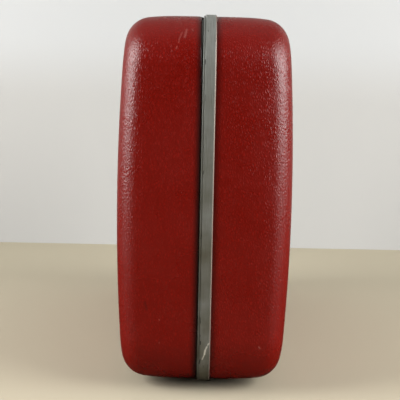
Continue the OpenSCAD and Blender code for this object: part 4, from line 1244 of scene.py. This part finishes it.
# %% Draw the straps along their paths
STRAP_WIDTH = 30 * MM
STRAP_THICKNESS = 1.5 * MM
STRAP_EDGE_R = 0.6 * MM
FOLD_R = 4 * MM
FOLD_STEPS = 6


def strap(side, sign):
    """A strap, from its place in the CAD: it turns over at both ends."""
    node = "strap_" + side
    low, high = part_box(node)
    half = STRAP_THICKNESS / 2
    near, far = low.y + half, high.y
    bottom, top = low.z + half, high.z - half
    bends = []
    for z_edge, up in ((bottom, 1), (top, -1)):
        arc = [math.radians(90 * k / FOLD_STEPS) for k in range(FOLD_STEPS + 1)]
        points = [(near + FOLD_R * (1 - math.sin(a)), z_edge + up * FOLD_R * (1 - math.cos(a)))
                  for a in arc]
        bends.append([(far, z_edge)] + points if up > 0 else (points[::-1] + [(far, z_edge)]))
    path = [(sign * abs(low.x + high.x) / 2, y, z) for y, z in bends[0] + bends[1]]
    width, thick = STRAP_WIDTH / 2, STRAP_THICKNESS / 2
    corners = [(-width, -thick), (width, -thick), (width, thick), (-width, thick)]
    section = rounded([(x, y, STRAP_EDGE_R) for x, y in corners])
    piece = sweep(node + "_webbing", path, section, (1, 0, 0), WEBBING)
    return finish_piece(piece, node)


strap_pieces = [strap(side, sign) for side, sign in (("left", -1), ("right", 1))]
print("straps:", [piece.name for piece in strap_pieces])

# %% [markdown]
# ## The lid's pocket
# A gathered pocket hangs in the lid: a piece of satin, wider than the place it covers, sewn down
# at the sides and the bottom, and drawn together at the top by an elastic. Near the elastic the
# extra width stands in many small folds, which join into fewer and softer ones lower down. A
# simulation could gather it, but then its folds fall where they will. Here the mesh is a fine
# grid whose folds come from waves, so each kind has its place, and Solidify gives the cloth its
# thickness.

# %% Gather the pocket
POCKET_COLUMNS = 260
POCKET_ROWS = 60
TOP_FOLD = 15 * MM
LOW_FOLD = 38 * MM
FOLD_HEIGHT = 1.76 * MM
# How much of that height the small folds and the wide ones take
SMALL_SHARE = 0.6
WIDE_SHARE = 0.55
POCKET_BAG = 4.0 * MM
POCKET_THICKNESS = 0.8 * MM
POCKET_SEAT = 1.1 * MM
# The folds stray to both sides in two slow waves: how far, how long, and where they start
SWAYS = [(0.9, 110 * MM, 0.0), (0.7, 47 * MM, 1.0)]
# The sewn edges lie flat over these shares of the pocket's width and height
SEWN_SIDE = 0.04
SEWN_FOOT = 0.06
# Cloth has no crisp edge but its own rim
CLOTH_CREASE = math.radians(80)
pocket_low, pocket_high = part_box("lid_pocket")


def lid_face_out(x, z, depth):
    """How far from the seam the skin of the lid's broad face lies at points (x, z)."""
    flat = np.stack([np.ravel(x), np.ravel(z)], 1)
    return (WALL[LID] + FACE_R - depth + crown(flat)).reshape(np.shape(x))


def gathered_pocket():
    """The pocket as a grid of cloth that stands off the lining in folds."""
    s = np.linspace(-1, 1, POCKET_COLUMNS + 1)
    t = np.linspace(0, 1, POCKET_ROWS + 1)
    s, t = np.meshgrid(s, t)
    x = s * pocket_high.x
    z = pocket_low.z + t * (pocket_high.z - pocket_low.z) - MIDDLE_Z
    sway = sum(far * np.sin(2 * math.pi * x / length + start) for far, length, start in SWAYS)
    small = np.sin(2 * math.pi * x / TOP_FOLD + sway) * t**2.2
    arch = np.sin(math.pi * t)
    wide = np.sin(2 * math.pi * x / LOW_FOLD + 1.6 * sway) * arch**0.7
    sewn = np.clip((1 - np.abs(s)) / SEWN_SIDE, 0, 1) * np.clip(t / SEWN_FOOT, 0, 1)
    bag = POCKET_BAG * arch**0.8
    stand = POCKET_SEAT + sewn * (bag + FOLD_HEIGHT * (1 + SMALL_SHARE * small + WIDE_SHARE * wide))
    y = -(lid_face_out(x, z, LINING_INSIDE) - stand)
    points = np.stack([x, y, z + MIDDLE_Z], -1).reshape(-1, 3)
    wide_row = POCKET_COLUMNS + 1
    faces = [(r * wide_row + c, r * wide_row + c + 1, (r + 1) * wide_row + c + 1, (r + 1) * wide_row + c)
             for r in range(POCKET_ROWS) for c in range(POCKET_COLUMNS)]
    piece = mesh_object("lid_pocket_gathered", points, faces)
    thicken = piece.modifiers.new("thickness", "SOLIDIFY")
    thicken.thickness = POCKET_THICKNESS
    thicken.offset = 0
    keep_modifiers(piece)
    finish_piece(piece, "lid_pocket", POCKET_CLOTH, crease=CLOTH_CREASE)
    return piece


pocket = gathered_pocket()
print("pocket faces", len(pocket.data.polygons))

# %% [markdown]
# ## The pocket's elastic
# The elastic runs in a tunnel of the same cloth, so it looks like a string of small beads: the
# tunnel is ruched between its stitches. The sweep's scale along the path makes the beads.

# %% Ruche the elastic
RUCHE = 8 * MM
STEPS_PER_RUCHE = 8
# The tunnel swells and shrinks about its mean by this share of its full size
RUCHE_SWELL = 0.12
ELASTIC_R = 2.7 * MM
ELASTIC_SEAT = 0.4 * MM


def ruched_elastic():
    """The tunnel of the elastic, which follows the bulge of the lining."""
    low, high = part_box("lid_pocket_elastic")
    steps = int((high.x - low.x) / RUCHE * STEPS_PER_RUCHE)
    path, swell = [], []
    for i in range(steps + 1):
        x = low.x + (high.x - low.x) * i / steps
        out = float(lid_face_out(x, (low.z + high.z) / 2 - MIDDLE_Z, LINING_INSIDE))
        path.append((x, -(out - ELASTIC_R - ELASTIC_SEAT), (low.z + high.z) / 2))
        swell.append(1 - RUCHE_SWELL + RUCHE_SWELL * math.cos(2 * math.pi * (x - low.x) / RUCHE))
    section = [(ELASTIC_R * math.cos(a), ELASTIC_R * math.sin(a)) for a in np.radians(range(0, 360, 30))]
    piece = sweep("lid_pocket_elastic_ruched", path, section, (0, 0, 1), POCKET_CLOTH, swell=swell)
    return finish_piece(piece, "lid_pocket_elastic", crease=CLOTH_CREASE)


elastic = ruched_elastic()
print("elastic faces", len(elastic.data.polygons))

# %% [markdown]
# ## Floor, wall and light
# The case stands on a plain pale floor before a plain wall. Two large soft lamps at its sides draw
# the long glow down each rounded edge, as two windows would. A weak lamp behind the camera lifts
# the upper right of the near end, and a weaker one hangs above. The room in front of the case is
# dim, which is what the flat end mirrors, so its red stays deep.

# %% Floor and wall
FLOOR_COLOUR = "#B7AE98"
FLOOR_MIRRORED_SHADED = "#3A3024"
WALL_COLOUR = "#BEC0C1"
WALL_SHADED = "#B5B5B3"
WALL_MIRRORED_SHADED = "#8A8B89"
WALL_X = -0.83
ROOM = 4.0
# The wall is darker below this height, which is painted shade, and at its full colour above the next
SHADED_BELOW = 0.37
CLEAR_ABOVE = 0.56


def stage_plane(name, corners):
    """A plane of the stage, with the tree of its paint and the coordinates that it reads."""
    mesh = bpy.data.meshes.new(name)
    mesh.from_pydata(corners, [], [(0, 1, 2, 3)])
    material, tree, place = new_material(name + "_paint")
    mesh.materials.append(material)
    placed(name, mesh)
    return tree, place


def matt_paint(tree, tint, shaded_mirror_code):
    """Matt paint. What the case mirrors of it is darker: painted shade, seen only in reflections."""
    # Painted shade: glossy rays see a darker paint than the camera does
    seen = add(tree, "ShaderNodeMix", {
        0: add(tree, "ShaderNodeLightPath").outputs["Is Glossy Ray"],
        6: tint, 7: colour(shaded_mirror_code)}, data_type="RGBA")
    return add(tree, "ShaderNodeBsdfPrincipled", {
        "Base Color": seen.outputs[2], "Roughness": 0.8, "Specular IOR Level": 0.2}).outputs[0]


floor_tree = stage_plane(
    "floor", [(-ROOM, -ROOM, 0), (ROOM, -ROOM, 0), (ROOM, ROOM, 0), (-ROOM, ROOM, 0)])[0]
add(floor_tree, "ShaderNodeOutputMaterial", {
    "Surface": matt_paint(floor_tree, colour(FLOOR_COLOUR), FLOOR_MIRRORED_SHADED)})

wall_tree, wall_place = stage_plane("wall", [
    (WALL_X, -ROOM, 0), (WALL_X, ROOM, 0), (WALL_X, ROOM, ROOM), (WALL_X, -ROOM, ROOM)])
wall_height = add(wall_tree, "ShaderNodeSeparateXYZ", {0: wall_place}).outputs["Z"]
wall_shade = add(wall_tree, "ShaderNodeMapRange", {
    "Value": wall_height, "From Min": CLEAR_ABOVE, "From Max": SHADED_BELOW},
    interpolation_type="SMOOTHSTEP")
wall_tint = add(wall_tree, "ShaderNodeMix", {
    0: wall_shade.outputs[0], 6: colour(WALL_COLOUR), 7: colour(WALL_SHADED)}, data_type="RGBA")
# Seen from behind, the wall lets the view through, so it hides nothing in the other views
one_sided = add(wall_tree, "ShaderNodeMixShader", {
    0: add(wall_tree, "ShaderNodeNewGeometry").outputs["Backfacing"],
    1: matt_paint(wall_tree, wall_tint.outputs[2], WALL_MIRRORED_SHADED),
    2: add(wall_tree, "ShaderNodeBsdfTransparent").outputs[0]})
add(wall_tree, "ShaderNodeOutputMaterial", {"Surface": one_sided.outputs[0]})
print("the wall stands", round(-WALL_X - HALF_LENGTH, 2), "m behind the case")

# %% Lamps
def lamp(name, place, target, size, radiance):
    """A soft rectangular lamp whose face has the given radiance."""
    light = bpy.data.lights.new(name, "AREA")
    light.shape = "RECTANGLE"
    light.size, light.size_y = size
    light.energy = radiance * math.pi * size[0] * size[1]
    aim = (Vector(target) - Vector(place)).to_track_quat("-Z", "Y")
    placed(name, light).matrix_world = Matrix.Translation(place) @ aim.to_matrix().to_4x4()


lamp("left window", (0.72, -1.9, 1.08), (0.3, 0, 0.35), (1.36, 1.5), 11.3)
lamp("right window", (0.93, 1.9, 1.08), (0.3, 0, 0.35), (1.8, 1.5), 9.4)
lamp("door behind the camera", (1.7, 1.0, 1.2), (0.33, 0.06, 0.4), (0.8, 1.2), 0.5)
lamp("ceiling above", (-0.3, 0, 2.8), (-0.1, 0, 0), (2.6, 2.6), 0.15)
print("lamps:", [light.name for light in bpy.data.lights])

# %% A room that is dim in front of the case and pale elsewhere
ROOM_PALE = "#A3A29E"
ROOM_DIM = "#2E2C2A"
ROOM_STRENGTH = 0.62
world = bpy.data.worlds.new("room")
bpy.context.scene.world = world
world.use_nodes = True
room = world.node_tree
way = add(room, "ShaderNodeSeparateXYZ", {0: add(room, "ShaderNodeTexCoord").outputs["Generated"]})
ahead = add(room, "ShaderNodeMapRange", {"Value": way.outputs["X"], "From Min": 0.1, "From Max": 0.75})
tone = add(room, "ShaderNodeMix", {
    0: ahead.outputs[0], 6: colour(ROOM_PALE), 7: colour(ROOM_DIM)}, data_type="RGBA")
background = room.nodes["Background"]
room.links.new(tone.outputs[2], background.inputs["Color"])
background.inputs["Strength"].default_value = ROOM_STRENGTH
print("world strength", ROOM_STRENGTH)

# %% [markdown]
# ## The last measure
# Every node of the frame now has a piece that stands for it, so no CAD mesh still shows.

# %% Measure and finish
print("CAD nodes that still show:", [n for n, node in frame["nodes"].items() if not node.hide_render])
